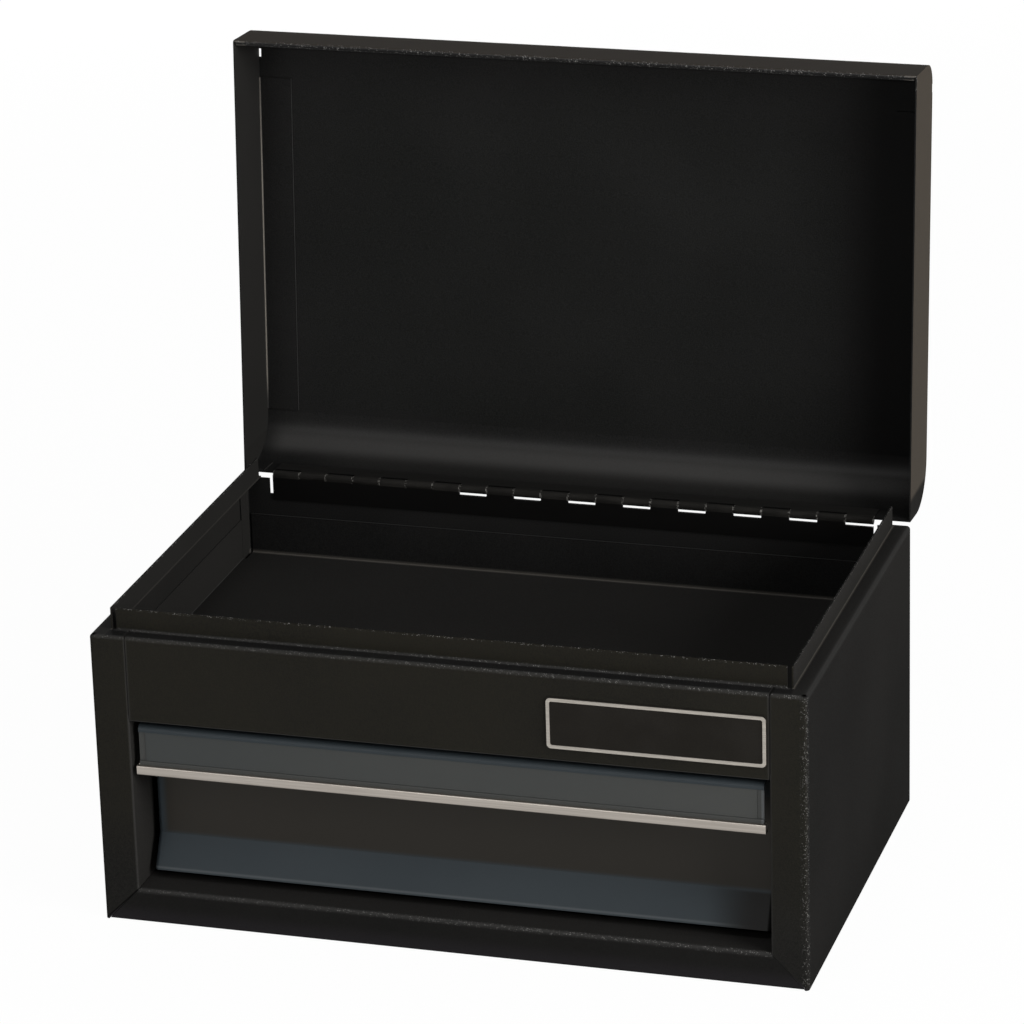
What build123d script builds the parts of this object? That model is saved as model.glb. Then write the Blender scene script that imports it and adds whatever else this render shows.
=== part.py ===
from build123d import *
import os

# Small steel tool chest: a lift-up lid over an open tray, and one drawer below it.
# Millimetres, +Z up. X runs along the front, which looks along -Y. The origin is the
# middle of the base, on the surface that the chest stands on. The lid stands open.

os.makedirs("parts", exist_ok=True)

# ---------------------------------------------------------------- driving dimensions
# Cabinet
WIDTH = 400.0
DEPTH = 256.0
BODY_HEIGHT = 170.0
SHEET = 0.8
INSIDE_BEND = 1.2
STILE_WIDTH = 20.5
STILE_EDGE = 1.2
STILE_RETURN = 30.0
RAIL_HEIGHT = 20.0
RAIL_RETURN = 24.0
HEADER_HEIGHT = 49.5
HEADER_RETURN = 14.0
SEAM = 0.25
LEDGE = 9.5
RIM_HEIGHT = 12.7
RIM_END_GAP = 3.3
RIM_REAR_GAP = 3.2
WELD_FLANGE = 12.0
CORNER_FLANGE = 13.0
RELIEF_HOLE = 0.9
TRAY_FLANGE = 25.0

# Back edge under the hinge
SLIT_WIDTH = 2.2
SLIT_DEPTH = 9.5
SIDE_FLANGE_DROP = 7.0
CLOSE_SLOTS = 3

# Piano hinge
HINGE_RISE = 1.4
HINGE_X = -1.5
LEAF = 0.8
LEAF_WIDTH = 15.0
BORE_RADIUS = 1.5
PIN_CLEARANCE = 0.05
HINGE_INSET = 19.6
KNUCKLES = 22
KNUCKLE_GAP = 0.35
KNUCKLE_NOTCH = 3.4
NOTCH_CORNER = 1.2

# Lid
LID_ANGLE = 93.5
LID_GAP = 1.0
LID_OVERHANG = 2.0
LID_HEIGHT = 43.0
LID_FRONT_BEND = 14.0
LID_REAR_BEND = 26.0
HEM_THICKNESS = 3.0
HEM_BEND = 1.44
HEM_HEIGHT = 8.0
END_FLANGE = 20.2
END_FLANGE_REAR_GAP = 27.0
END_FLANGE_FRONT_GAP = 30.0
END_TAB = 12.0
LEAK_LENGTH = 5.0
LEAK_WIDTH = 2.0

# Name plate, left blank
BADGE_WIDTH = 121.0
BADGE_HEIGHT = 30.0
BADGE_END_GAP = 1.0
BADGE_RISE = 7.0
BADGE_PLATE = 0.6
BADGE_BORDER = 0.5
BORDER_WIDTH = 1.8
BORDER_INSET = 0.6
BADGE_CORNER = 3.0

# Drawer
FRONT_SIDE_GAP = 3.8
FRONT_SET_BACK = 25.0
FRONT_BOTTOM_GAP = 5.5
FRONT_TOP_GAP = 5.5
FRONT_DEPTH = 10.0
FRONT_EDGE = 2.6
LIP_REACH = 10.0
LIP_HEIGHT = 18.5
PAN_FLOOR_RISE = 4.5
PAN_TOP_DROP = 9.0
PAN_HEM = 7.0
DRAWER_TRAVEL = 140.0

# Drawer pull, with its label strip and edge trim
PULL_SHEET = 1.6
PULL_TOP_GAP = 3.3
PULL_SET_BACK = 3.0
PULL_NOSE = 3.0
PULL_DROP = 27.0
PULL_BACK_FLANGE = 17.0
LABEL_HEIGHT = 17.0
LABEL_DROP = 3.9
LABEL_RECESS = 0.8
LABEL_THICKNESS = 0.5
LABEL_END_GAP = 3.9
LABEL_PLAY = 0.15
TRIM_HEIGHT = 5.4
TRIM_PROUD = 2.2
TRIM_BACK = 1.4
TRIM_OVERHANG = 1.2
TRIM_LAP = 3.7
TRIM_EDGE = 1.1

# Ball slides
SLIDE_WIDTH = 12.7
SLIDE_HEIGHT = 27.0
SLIDE_RISE = 44.0
SLIDE_LENGTH = 200.0
SLIDE_START = 10.0
SLIDE_SHEET = 1.2
SLIDE_LIP = 9.0
INNER_HEIGHT = 16.4
INNER_LEAD = 2.0
BALL_CLEARANCE = 0.1
BALLS_PER_ROW = 5
CAGE_SHEET = 0.6
CAGE_LENGTH = 56.0
CAGE_WEB_GAP = 1.2
CAGE_LIP = 5.4
BRACKET_FLANGE = 12.0
BRACKET_MARGIN = 2.5
RIVET_RADIUS = 1.9
RIVET_PLAY = 0.1
RIVET_HEAD = 3.4
RIVET_HEAD_HEIGHT = 0.7
RIVET_INSET = 20.0

# ------------------------------------------------------------------ worked-out places
HALF = WIDTH / 2
FRONT = -DEPTH / 2
BACK = DEPTH / 2
BEND = SHEET + INSIDE_BEND
OPENING_HALF = HALF - STILE_WIDTH
HEADER_BOTTOM = BODY_HEIGHT - HEADER_HEIGHT
RIM_TOP = BODY_HEIGHT + RIM_HEIGHT
SIDE_INNER = HALF - SHEET
BACK_INNER = BACK - SHEET
BACK_TOP = BODY_HEIGHT - SHEET
TRAY_UNDERSIDE = HEADER_BOTTOM + SHEET

KNUCKLE_RADIUS = BORE_RADIUS + LEAF
HINGE_Y = BACK_INNER - LEAF + KNUCKLE_RADIUS
HINGE_Z = BODY_HEIGHT + HINGE_RISE
HINGE_LENGTH = WIDTH - 2 * HINGE_INSET
KNUCKLE_PITCH = HINGE_LENGTH / KNUCKLES
HINGE_AXIS = Axis((0, HINGE_Y, HINGE_Z), (1, 0, 0))

LID_FRONT = FRONT - LID_OVERHANG
LID_BOTTOM = BODY_HEIGHT + LID_GAP
LID_TOP = LID_BOTTOM + LID_HEIGHT

DRAWER_HALF = OPENING_HALF - FRONT_SIDE_GAP
DRAWER_FACE = FRONT + FRONT_SET_BACK
DRAWER_TOP = HEADER_BOTTOM - FRONT_TOP_GAP
DRAWER_BOTTOM = RAIL_HEIGHT + FRONT_BOTTOM_GAP
PAN_HALF = OPENING_HALF - SLIDE_WIDTH
PAN_FRONT = DRAWER_FACE + SHEET
PAN_BOTTOM = DRAWER_BOTTOM + PAN_FLOOR_RISE
PAN_HEIGHT = DRAWER_TOP - PAN_TOP_DROP - PAN_BOTTOM

PULL_FACE = FRONT + PULL_SET_BACK
PULL_TOP = HEADER_BOTTOM - PULL_TOP_GAP
PULL_BOTTOM = PULL_TOP - PULL_DROP
LABEL_TOP = PULL_TOP - LABEL_DROP

SLIDE_Z = RAIL_HEIGHT + SLIDE_RISE
SLIDE_FRONT = FRONT + STILE_RETURN + SLIDE_START
SLIDE_REAR = SLIDE_FRONT + SLIDE_LENGTH
PAN_DEPTH = SLIDE_REAR - PAN_FRONT
OUTER_INSIDE = SLIDE_HEIGHT / 2 - SLIDE_SHEET
BALL_ROW = (OUTER_INSIDE + INNER_HEIGHT / 2) / 2
BALL_RADIUS = (OUTER_INSIDE - INNER_HEIGHT / 2) / 2 - BALL_CLEARANCE
BALL_X = PAN_HALF + SLIDE_WIDTH / 2
BALL_SPACING = CAGE_LENGTH / BALLS_PER_ROW
CAGE_REAR = SLIDE_FRONT + CAGE_LENGTH + DRAWER_TRAVEL / 2 + SLIDE_SHEET
CAGE_WEB = OPENING_HALF - SLIDE_SHEET - CAGE_WEB_GAP


# -------------------------------------------------------------------------- helpers
def folded_sheet(points, radii, side=Side.RIGHT, thickness=SHEET):
    """Fill the current sketch with a folded sheet's section, whose one face is the line."""
    with BuildLine() as outline:
        face_line = FilletPolyline(*points, radius=radii)
        offset(face_line, amount=thickness, side=side)
    make_face(outline.edges())


def save(piece, name):
    """Label a finished piece and write it."""
    piece.label = name
    export_step(piece, f"parts/{name}.step")


def opened(piece):
    """Turn a piece that was drawn with the lid shut to the open lid's place."""
    return piece.rotate(HINGE_AXIS, -LID_ANGLE)


def knuckle_centres(first):
    """X centres of every second knuckle, from the one numbered first."""
    start = HINGE_X - HINGE_LENGTH / 2 + KNUCKLE_PITCH / 2
    return [start + number * KNUCKLE_PITCH for number in range(first, KNUCKLES, 2)]


def close_slots():
    """Cut the leftmost slots round their knuckles, so close that no light shows under them."""
    with Locations(*[(x, HINGE_Y, HINGE_Z) for x in knuckle_centres(1)[:CLOSE_SLOTS]]):
        Cylinder(
            KNUCKLE_RADIUS + KNUCKLE_GAP,
            KNUCKLE_PITCH + KNUCKLE_GAP,
            rotation=(0, 90, 0),
            mode=Mode.SUBTRACT,
        )


# ------------------------------------------------------------------ cabinet: side panels
# One sheet each: wall, front stile with its return, and the ledge with its upright rim.
with BuildPart() as left_side_panel:
    with BuildSketch():
        with Locations((-HALF, FRONT)):
            Rectangle(STILE_WIDTH, DEPTH, align=(Align.MIN, Align.MIN))
    extrude(amount=BODY_HEIGHT)
    front_edges = left_side_panel.edges().filter_by(Axis.Z).group_by(Axis.Y)[0]
    fillet(front_edges.sort_by(Axis.X)[-1], radius=STILE_EDGE)
    outer_edge = left_side_panel.edges().filter_by(Axis.Z).group_by(Axis.Y)[0].sort_by(Axis.X)[0]
    top_edges = left_side_panel.edges().group_by(Axis.Z)[-1]
    side_top = top_edges.filter_by(Axis.Y).sort_by(Axis.X)[0]
    front_top = top_edges.filter_by(Axis.X).sort_by(Axis.Y)[0]
    fillet([outer_edge, side_top, front_top], radius=BEND)
    open_faces = [left_side_panel.faces().sort_by(Axis.Z)[0], left_side_panel.faces().sort_by(Axis.Y)[-1]]
    offset(amount=-SHEET, openings=open_faces)
    # The top sheet ends at the rim, apart from the stile's own corner.
    with BuildSketch(Plane.XY.offset(TRAY_UNDERSIDE + SHEET)):
        with Locations((-HALF + LEDGE + SHEET, FRONT + LEDGE + SHEET)):
            Rectangle(STILE_WIDTH, DEPTH, align=(Align.MIN, Align.MIN))
    extrude(amount=BODY_HEIGHT, mode=Mode.SUBTRACT)
    # The stile's return stops behind the opening and under the header.
    with BuildSketch(Plane.XY):
        with Locations((-HALF + SHEET, FRONT + STILE_RETURN)):
            Rectangle(STILE_WIDTH, DEPTH, align=(Align.MIN, Align.MIN))
    extrude(amount=BODY_HEIGHT - SHEET - SEAM, mode=Mode.SUBTRACT)
    with BuildSketch(Plane.XY.offset(HEADER_BOTTOM - SEAM)):
        with Locations((-OPENING_HALF - STILE_EDGE, FRONT + SHEET)):
            Rectangle(2 * STILE_EDGE, STILE_RETURN, align=(Align.MIN, Align.MIN))
    extrude(amount=HEADER_HEIGHT - SHEET + SEAM, mode=Mode.SUBTRACT)
    with BuildSketch(Plane.XY):
        with Locations((-OPENING_HALF - STILE_EDGE, FRONT + SHEET)):
            Rectangle(2 * STILE_EDGE, STILE_RETURN, align=(Align.MIN, Align.MIN))
    extrude(amount=RAIL_HEIGHT, mode=Mode.SUBTRACT)
    # Mitre against the bottom rail.
    with BuildSketch(Plane.XZ.offset(-FRONT)):
        with BuildLine():
            Polyline(
                (-HALF + BEND, 0),
                (-OPENING_HALF, RAIL_HEIGHT),
                (-OPENING_HALF, 0),
                close=True,
            )
        make_face()
    extrude(amount=-BEND, mode=Mode.SUBTRACT)
    # Upright rim along the ledge, cut off square in front and sloping behind.
    with BuildSketch(Plane.YZ.offset(-HALF + LEDGE)):
        with BuildLine():
            Polyline(
                (FRONT + LEDGE, BODY_HEIGHT - SHEET),
                (FRONT + LEDGE, RIM_TOP),
                (BACK - RIM_REAR_GAP - SHEET, RIM_TOP),
                (BACK - RIM_REAR_GAP, BODY_HEIGHT - SHEET),
                close=True,
            )
        make_face()
    extrude(amount=SHEET)
    with Locations((-HALF + BEND, FRONT + BEND, BODY_HEIGHT)):
        Hole(radius=RELIEF_HOLE, depth=2 * SHEET)
save(left_side_panel.part, "left_side_panel")

with BuildPart() as right_side_panel:
    mirror(left_side_panel.part, about=Plane.YZ)
save(right_side_panel.part, "right_side_panel")

# ------------------------------------------------------------------ cabinet: header
# The sheet over the drawer: lower return, face, ledge and rim, with ears behind the stiles.
with BuildPart() as header_panel:
    with BuildSketch(Plane.YZ):
        folded_sheet(
            [
                (FRONT + HEADER_RETURN, HEADER_BOTTOM),
                (FRONT, HEADER_BOTTOM),
                (FRONT, BODY_HEIGHT),
                (FRONT + LEDGE, BODY_HEIGHT),
                (FRONT + LEDGE, RIM_TOP),
            ],
            [INSIDE_BEND, BEND, INSIDE_BEND],
        )
    extrude(amount=OPENING_HALF - SEAM, both=True)
    rim_end = HALF - LEDGE - RIM_END_GAP
    with BuildSketch(Plane.XY.offset(BODY_HEIGHT)):
        with Locations((0, FRONT + LEDGE)):
            Rectangle(2 * rim_end, SHEET, align=(Align.CENTER, Align.MIN))
    extrude(amount=RIM_HEIGHT)
    ear_bottom = TRAY_UNDERSIDE + TRAY_FLANGE + BEND
    with BuildSketch(Plane.XZ.offset(-FRONT - SHEET)):
        with Locations((0, ear_bottom)):
            Rectangle(2 * (OPENING_HALF + WELD_FLANGE), WELD_FLANGE, align=(Align.CENTER, Align.MIN))
    extrude(amount=-SHEET)
save(header_panel.part, "header_panel")

# ------------------------------------------------------------------ cabinet: bottom panel
# Floor with the mitred front rail and its return, and upturned weld flanges.
with BuildPart() as bottom_panel:
    with BuildSketch(Plane.YZ):
        folded_sheet(
            [
                (BACK_INNER, 0),
                (FRONT, 0),
                (FRONT, RAIL_HEIGHT),
                (FRONT + RAIL_RETURN, RAIL_HEIGHT),
            ],
            [BEND, STILE_EDGE],
        )
    extrude(amount=SIDE_INNER, both=True)
    for sign in (-1, 1):
        with BuildSketch(Plane.XZ.offset(-FRONT)):
            with BuildLine():
                Polyline(
                    (sign * (HALF - BEND - SEAM), 0),
                    (sign * (OPENING_HALF - SEAM), RAIL_HEIGHT),
                    (sign * HALF, RAIL_HEIGHT),
                    (sign * HALF, 0),
                    close=True,
                )
            make_face()
        extrude(amount=-RAIL_RETURN, mode=Mode.SUBTRACT)
        with BuildSketch(Plane.XY):
            with Locations((sign * (SIDE_INNER - SHEET / 2), BACK_INNER - CORNER_FLANGE)):
                Rectangle(SHEET, DEPTH - RAIL_RETURN - 2 * CORNER_FLANGE, align=(Align.CENTER, Align.MAX))
        extrude(amount=WELD_FLANGE)
        # Corner relief for the back panel's fold.
        with BuildSketch(Plane.XY):
            with Locations((sign * SIDE_INNER, BACK)):
                Rectangle(2 * (BEND + SEAM), 2 * (BEND + SEAM))
        extrude(amount=WELD_FLANGE, mode=Mode.SUBTRACT)
    with BuildSketch(Plane.XY):
        with Locations((0, BACK_INNER)):
            Rectangle(2 * (SIDE_INNER - CORNER_FLANGE), SHEET, align=(Align.CENTER, Align.MAX))
    extrude(amount=WELD_FLANGE)
save(bottom_panel.part, "bottom_panel")

# ------------------------------------------------------------------ cabinet: back panel
# Flanged at both sides; its top edge is slit beside the hinge and notched under it.
with BuildPart() as back_panel:
    with BuildSketch(Plane.XY):
        folded_sheet(
            [
                (-SIDE_INNER, BACK - CORNER_FLANGE),
                (-SIDE_INNER, BACK),
                (SIDE_INNER, BACK),
                (SIDE_INNER, BACK - CORNER_FLANGE),
            ],
            [BEND, BEND],
        )
    extrude(amount=BACK_TOP)
    flange_top = BACK_TOP - SIDE_FLANGE_DROP
    for low, high in ((0, WELD_FLANGE + SEAM), (flange_top, BODY_HEIGHT)):
        with BuildSketch(Plane.XY.offset(low)):
            with Locations((0, BACK - BEND)):
                Rectangle(WIDTH, CORNER_FLANGE, align=(Align.CENTER, Align.MAX))
        extrude(amount=high - low, mode=Mode.SUBTRACT)
    slit_x = HINGE_LENGTH / 2 + SLIT_WIDTH / 2
    slots = [(x, BACK_TOP) for x in knuckle_centres(1)]
    with BuildSketch(Plane.XZ.offset(-BACK)):
        with Locations((HINGE_X - slit_x, BACK_TOP), (HINGE_X + slit_x, BACK_TOP)):
            Rectangle(SLIT_WIDTH, 2 * SLIT_DEPTH)
        with Locations(*slots[CLOSE_SLOTS:]):
            Rectangle(KNUCKLE_PITCH, 2 * (BACK_TOP - HINGE_Z + KNUCKLE_NOTCH))
        with Locations((-SIDE_INNER, BACK_TOP), (SIDE_INNER, BACK_TOP)):
            Rectangle(2 * INSIDE_BEND, 2 * INSIDE_BEND)
    extrude(amount=2 * SHEET, mode=Mode.SUBTRACT)
    close_slots()
save(back_panel.part, "back_panel")

# ------------------------------------------------------------------ cabinet: tray pan
# The tray's floor, with four upturned flanges that lie against the walls.
with BuildPart() as tray_pan:
    with BuildSketch(Plane.XY.offset(TRAY_UNDERSIDE)):
        with Locations((0, FRONT + SHEET)):
            Rectangle(2 * SIDE_INNER, DEPTH - 2 * SHEET, align=(Align.CENTER, Align.MIN))
    extrude(amount=TRAY_FLANGE)
    fillet(tray_pan.edges().filter_by(Axis.Z), radius=BEND)
    fillet(tray_pan.edges().group_by(Axis.Z)[0], radius=INSIDE_BEND)
    offset(amount=-SHEET, openings=tray_pan.faces().sort_by(Axis.Z)[-1])
    with BuildSketch(Plane.XY.offset(TRAY_UNDERSIDE)):
        with Locations((-SIDE_INNER, BACK_INNER), (SIDE_INNER, BACK_INNER)):
            Rectangle(2 * (BEND + SHEET), 2 * (CORNER_FLANGE - SHEET + SEAM))
    extrude(amount=TRAY_FLANGE, mode=Mode.SUBTRACT)
save(tray_pan.part, "tray_pan")

# ------------------------------------------------------------------ cabinet: name plate
BADGE_X = OPENING_HALF - BADGE_END_GAP - BADGE_WIDTH / 2
BADGE_Z = HEADER_BOTTOM + BADGE_RISE + BADGE_HEIGHT / 2
with BuildPart() as badge_plate:
    with BuildSketch(Plane.XZ.offset(-FRONT)):
        with Locations((BADGE_X, BADGE_Z)):
            RectangleRounded(BADGE_WIDTH, BADGE_HEIGHT, BADGE_CORNER)
    extrude(amount=BADGE_PLATE)
save(badge_plate.part, "badge_plate")

with BuildPart() as badge_border:
    with BuildSketch(Plane.XZ.offset(-FRONT + BADGE_PLATE)):
        with Locations((BADGE_X, BADGE_Z)):
            RectangleRounded(
                BADGE_WIDTH - 2 * BORDER_INSET,
                BADGE_HEIGHT - 2 * BORDER_INSET,
                BADGE_CORNER - BORDER_INSET,
            )
            RectangleRounded(
                BADGE_WIDTH - 2 * (BORDER_INSET + BORDER_WIDTH),
                BADGE_HEIGHT - 2 * (BORDER_INSET + BORDER_WIDTH),
                (BADGE_CORNER - BORDER_INSET) / 2,
                mode=Mode.SUBTRACT,
            )
    extrude(amount=BADGE_BORDER)
save(badge_border.part, "badge_border")


# ------------------------------------------------------------------ piano hinge
def hinge_leaf_sketch(direction, others):
    """Outline of a leaf, seen from behind, that rises or falls from the hinge line."""
    with Locations((HINGE_X, HINGE_Z)):
        Rectangle(HINGE_LENGTH, 2 * LEAF_WIDTH)
    with Locations((HINGE_X, HINGE_Z - direction * LEAF_WIDTH)):
        Rectangle(HINGE_LENGTH, 2 * LEAF_WIDTH, mode=Mode.SUBTRACT)
    with Locations(*[(x, HINGE_Z) for x in others]):
        RectangleRounded(
            KNUCKLE_PITCH + KNUCKLE_GAP,
            2 * KNUCKLE_NOTCH,
            NOTCH_CORNER,
            mode=Mode.SUBTRACT,
        )


def knuckle_sketch():
    """Ring section of a knuckle."""
    with Locations((HINGE_Y, HINGE_Z)):
        Circle(KNUCKLE_RADIUS)
        Circle(BORE_RADIUS, mode=Mode.SUBTRACT)


with BuildPart() as hinge_body_leaf:
    with BuildSketch(Plane.XZ.offset(-BACK_INNER)):
        hinge_leaf_sketch(-1, knuckle_centres(1)[CLOSE_SLOTS:])
    extrude(amount=LEAF)
    close_slots()
    for centre in knuckle_centres(0):
        with BuildSketch(Plane.YZ.offset(centre)):
            knuckle_sketch()
        extrude(amount=(KNUCKLE_PITCH - KNUCKLE_GAP) / 2, both=True)
save(hinge_body_leaf.part, "hinge_body_leaf")

with BuildPart() as hinge_lid_leaf:
    with BuildSketch(Plane.XZ.offset(-BACK_INNER)):
        hinge_leaf_sketch(1, knuckle_centres(0))
    extrude(amount=LEAF)
    for centre in knuckle_centres(1):
        with BuildSketch(Plane.YZ.offset(centre)):
            knuckle_sketch()
        extrude(amount=(KNUCKLE_PITCH - KNUCKLE_GAP) / 2, both=True)
save(opened(hinge_lid_leaf.part), "hinge_lid_leaf")

with BuildPart() as hinge_pin:
    with BuildSketch(Plane.YZ.offset(HINGE_X)):
        with Locations((HINGE_Y, HINGE_Z)):
            Circle(BORE_RADIUS - PIN_CLEARANCE)
    extrude(amount=HINGE_LENGTH / 2, both=True)
save(hinge_pin.part, "hinge_pin")

# ------------------------------------------------------------------ lid
# Drawn shut. One sheet makes the front wall with its hem, the top and the rear wall.
with BuildPart() as lid_shell:
    with BuildSketch(Plane.YZ):
        folded_sheet(
            [
                (LID_FRONT + HEM_THICKNESS, LID_BOTTOM + HEM_HEIGHT),
                (LID_FRONT + HEM_THICKNESS, LID_BOTTOM),
                (LID_FRONT, LID_BOTTOM),
                (LID_FRONT, LID_TOP),
                (BACK, LID_TOP),
                (BACK, LID_BOTTOM),
            ],
            [HEM_BEND, HEM_BEND, LID_FRONT_BEND, LID_REAR_BEND],
        )
    extrude(amount=HALF, both=True)
    # The rear wall stops clear of the hinge's knuckles.
    with BuildSketch(Plane.XZ.offset(-BACK)):
        with Locations((HINGE_X, LID_BOTTOM)):
            Rectangle(HINGE_LENGTH, 2 * (HINGE_Z + KNUCKLE_NOTCH - LID_BOTTOM))
    extrude(amount=LID_REAR_BEND - SHEET, mode=Mode.SUBTRACT)
    for sign in (-1, 1):
        # The hem stops short of the end walls, and the front fold has a relief slit.
        with BuildSketch(Plane.XY.offset(LID_BOTTOM)):
            with Locations((sign * HALF, LID_FRONT + SHEET)):
                Rectangle(4 * SHEET, HEM_THICKNESS, align=(Align.CENTER, Align.MIN))
        extrude(amount=HEM_HEIGHT + SEAM, mode=Mode.SUBTRACT)
        with BuildSketch(Plane.XY.offset(LID_TOP - LID_FRONT_BEND)):
            with Locations((sign * HALF, LID_FRONT + LID_FRONT_BEND - SHEET)):
                Rectangle(2 * LEAK_WIDTH, LEAK_LENGTH, align=(Align.CENTER, Align.MIN))
        extrude(amount=LID_FRONT_BEND, mode=Mode.SUBTRACT)
save(opened(lid_shell.part), "lid_shell")

with BuildPart() as lid_left_end:
    with BuildSketch(Plane.YZ.offset(-HALF)):
        with BuildLine():
            FilletPolyline(
                (LID_FRONT + SHEET, LID_BOTTOM),
                (LID_FRONT + SHEET, LID_TOP - SHEET),
                (BACK_INNER, LID_TOP - SHEET),
                (BACK_INNER, LID_BOTTOM),
                radius=[LID_FRONT_BEND - SHEET, LID_REAR_BEND - SHEET],
            )
            Line((BACK_INNER, LID_BOTTOM), (LID_FRONT + SHEET, LID_BOTTOM))
        make_face()
    extrude(amount=SHEET)
    # Top flange, and a tab on the front and on the rear wall.
    with BuildSketch(Plane.XY.offset(LID_TOP - SHEET)):
        with Locations((-HALF, BACK - END_FLANGE_REAR_GAP)):
            Rectangle(
                END_FLANGE,
                BACK - LID_FRONT - END_FLANGE_REAR_GAP - END_FLANGE_FRONT_GAP,
                align=(Align.MIN, Align.MAX),
            )
    extrude(amount=-SHEET)
    with BuildSketch(Plane.XZ.offset(-BACK_INNER)):
        with Locations((-HALF, LID_BOTTOM + INSIDE_BEND)):
            Rectangle(END_TAB, LID_HEIGHT - LID_REAR_BEND - INSIDE_BEND, align=(Align.MIN, Align.MIN))
    extrude(amount=SHEET)
    with BuildSketch(Plane.XZ.offset(-LID_FRONT - SHEET)):
        with Locations((-HALF, LID_BOTTOM + HEM_HEIGHT + INSIDE_BEND)):
            Rectangle(
                END_TAB,
                LID_HEIGHT - LID_FRONT_BEND - HEM_HEIGHT - 2 * INSIDE_BEND,
                align=(Align.MIN, Align.MIN),
            )
    extrude(amount=-SHEET)
    under_flange = LID_TOP - 2 * SHEET
    flange_edges = lid_left_end.edges().filter_by(Axis.Y).filter_by_position(
        Axis.Z, under_flange - SHEET / 4, under_flange + SHEET / 4
    )
    fillet(flange_edges.sort_by(Axis.X)[0], radius=INSIDE_BEND)
save(opened(lid_left_end.part), "lid_left_end")

with BuildPart() as lid_right_end:
    mirror(lid_left_end.part, about=Plane.YZ)
save(opened(lid_right_end.part), "lid_right_end")

# ------------------------------------------------------------------ drawer front
# A shallow pressing: flat panel, flared lip below, and flanges all round behind.
with BuildPart() as drawer_front:
    with BuildSketch(Plane.YZ):
        with BuildLine():
            Polyline(
                (DRAWER_FACE + FRONT_DEPTH, DRAWER_BOTTOM),
                (DRAWER_FACE - LIP_REACH, DRAWER_BOTTOM),
                (DRAWER_FACE, DRAWER_BOTTOM + LIP_HEIGHT),
                (DRAWER_FACE, DRAWER_TOP),
                (DRAWER_FACE + FRONT_DEPTH, DRAWER_TOP),
                close=True,
            )
        make_face()
    extrude(amount=DRAWER_HALF, both=True)
    end_edges = drawer_front.edges().filter_by(Axis.X, reverse=True).filter_by(Axis.Y, reverse=True)
    front_end_edges = end_edges.filter_by_position(
        Axis.Y, DRAWER_FACE - LIP_REACH - SHEET / 4, DRAWER_FACE + SHEET / 4
    )
    fillet(front_end_edges, radius=FRONT_EDGE)
    offset(amount=-SHEET, openings=drawer_front.faces().sort_by(Axis.Y)[-1])
save(drawer_front.part, "drawer_front")

# ------------------------------------------------------------------ drawer pan
with BuildPart() as drawer_pan:
    with BuildSketch(Plane.XY.offset(PAN_BOTTOM)):
        with Locations((0, PAN_FRONT)):
            Rectangle(2 * PAN_HALF, PAN_DEPTH, align=(Align.CENTER, Align.MIN))
    extrude(amount=PAN_HEIGHT)
    fillet(drawer_pan.edges().filter_by(Axis.Z), radius=BEND)
    fillet(drawer_pan.edges().group_by(Axis.Z)[0], radius=INSIDE_BEND)
    offset(amount=-SHEET, openings=drawer_pan.faces().sort_by(Axis.Z)[-1])
    # The rim's hem is folded down inside the walls.
    with BuildSketch(Plane.XY.offset(PAN_BOTTOM + PAN_HEIGHT)):
        with Locations((0, PAN_FRONT + PAN_DEPTH / 2)):
            RectangleRounded(2 * PAN_HALF, PAN_DEPTH, BEND)
            RectangleRounded(
                2 * PAN_HALF - 4 * SHEET,
                PAN_DEPTH - 4 * SHEET,
                INSIDE_BEND / 2,
                mode=Mode.SUBTRACT,
            )
    extrude(amount=-PAN_HEM)
    with Locations(*[
        Plane(origin=(sign * PAN_HALF, y, SLIDE_Z), z_dir=(sign, 0, 0))
        for sign in (-1, 1)
        for y in (SLIDE_FRONT + RIVET_INSET, SLIDE_REAR - RIVET_INSET)
    ]):
        Hole(radius=RIVET_RADIUS + RIVET_PLAY, depth=SHEET)
save(drawer_pan.part, "drawer_pan")

# ------------------------------------------------------------------ drawer pull
# A deep folded bar across the front; fingers reach up behind its face from below.
with BuildPart() as drawer_pull:
    with BuildSketch(Plane.YZ):
        folded_sheet(
            [
                (DRAWER_FACE, PULL_TOP - PULL_BACK_FLANGE),
                (DRAWER_FACE, PULL_TOP),
                (PULL_FACE, PULL_TOP),
                (PULL_FACE, PULL_BOTTOM),
            ],
            [PULL_SHEET + INSIDE_BEND, PULL_NOSE],
            side=Side.LEFT,
            thickness=PULL_SHEET,
        )
        with Locations((PULL_FACE, LABEL_TOP)):
            Rectangle(2 * LABEL_RECESS, LABEL_HEIGHT, align=(Align.CENTER, Align.MAX), mode=Mode.SUBTRACT)
    extrude(amount=DRAWER_HALF, both=True)
save(drawer_pull.part, "drawer_pull")

with BuildPart() as pull_label:
    with BuildSketch(Plane.XZ.offset(-PULL_FACE - LABEL_RECESS)):
        with Locations((0, LABEL_TOP - LABEL_HEIGHT / 2)):
            Rectangle(2 * (DRAWER_HALF - LABEL_END_GAP), LABEL_HEIGHT - 2 * LABEL_PLAY)
    extrude(amount=LABEL_THICKNESS)
save(pull_label.part, "pull_label")

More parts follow.
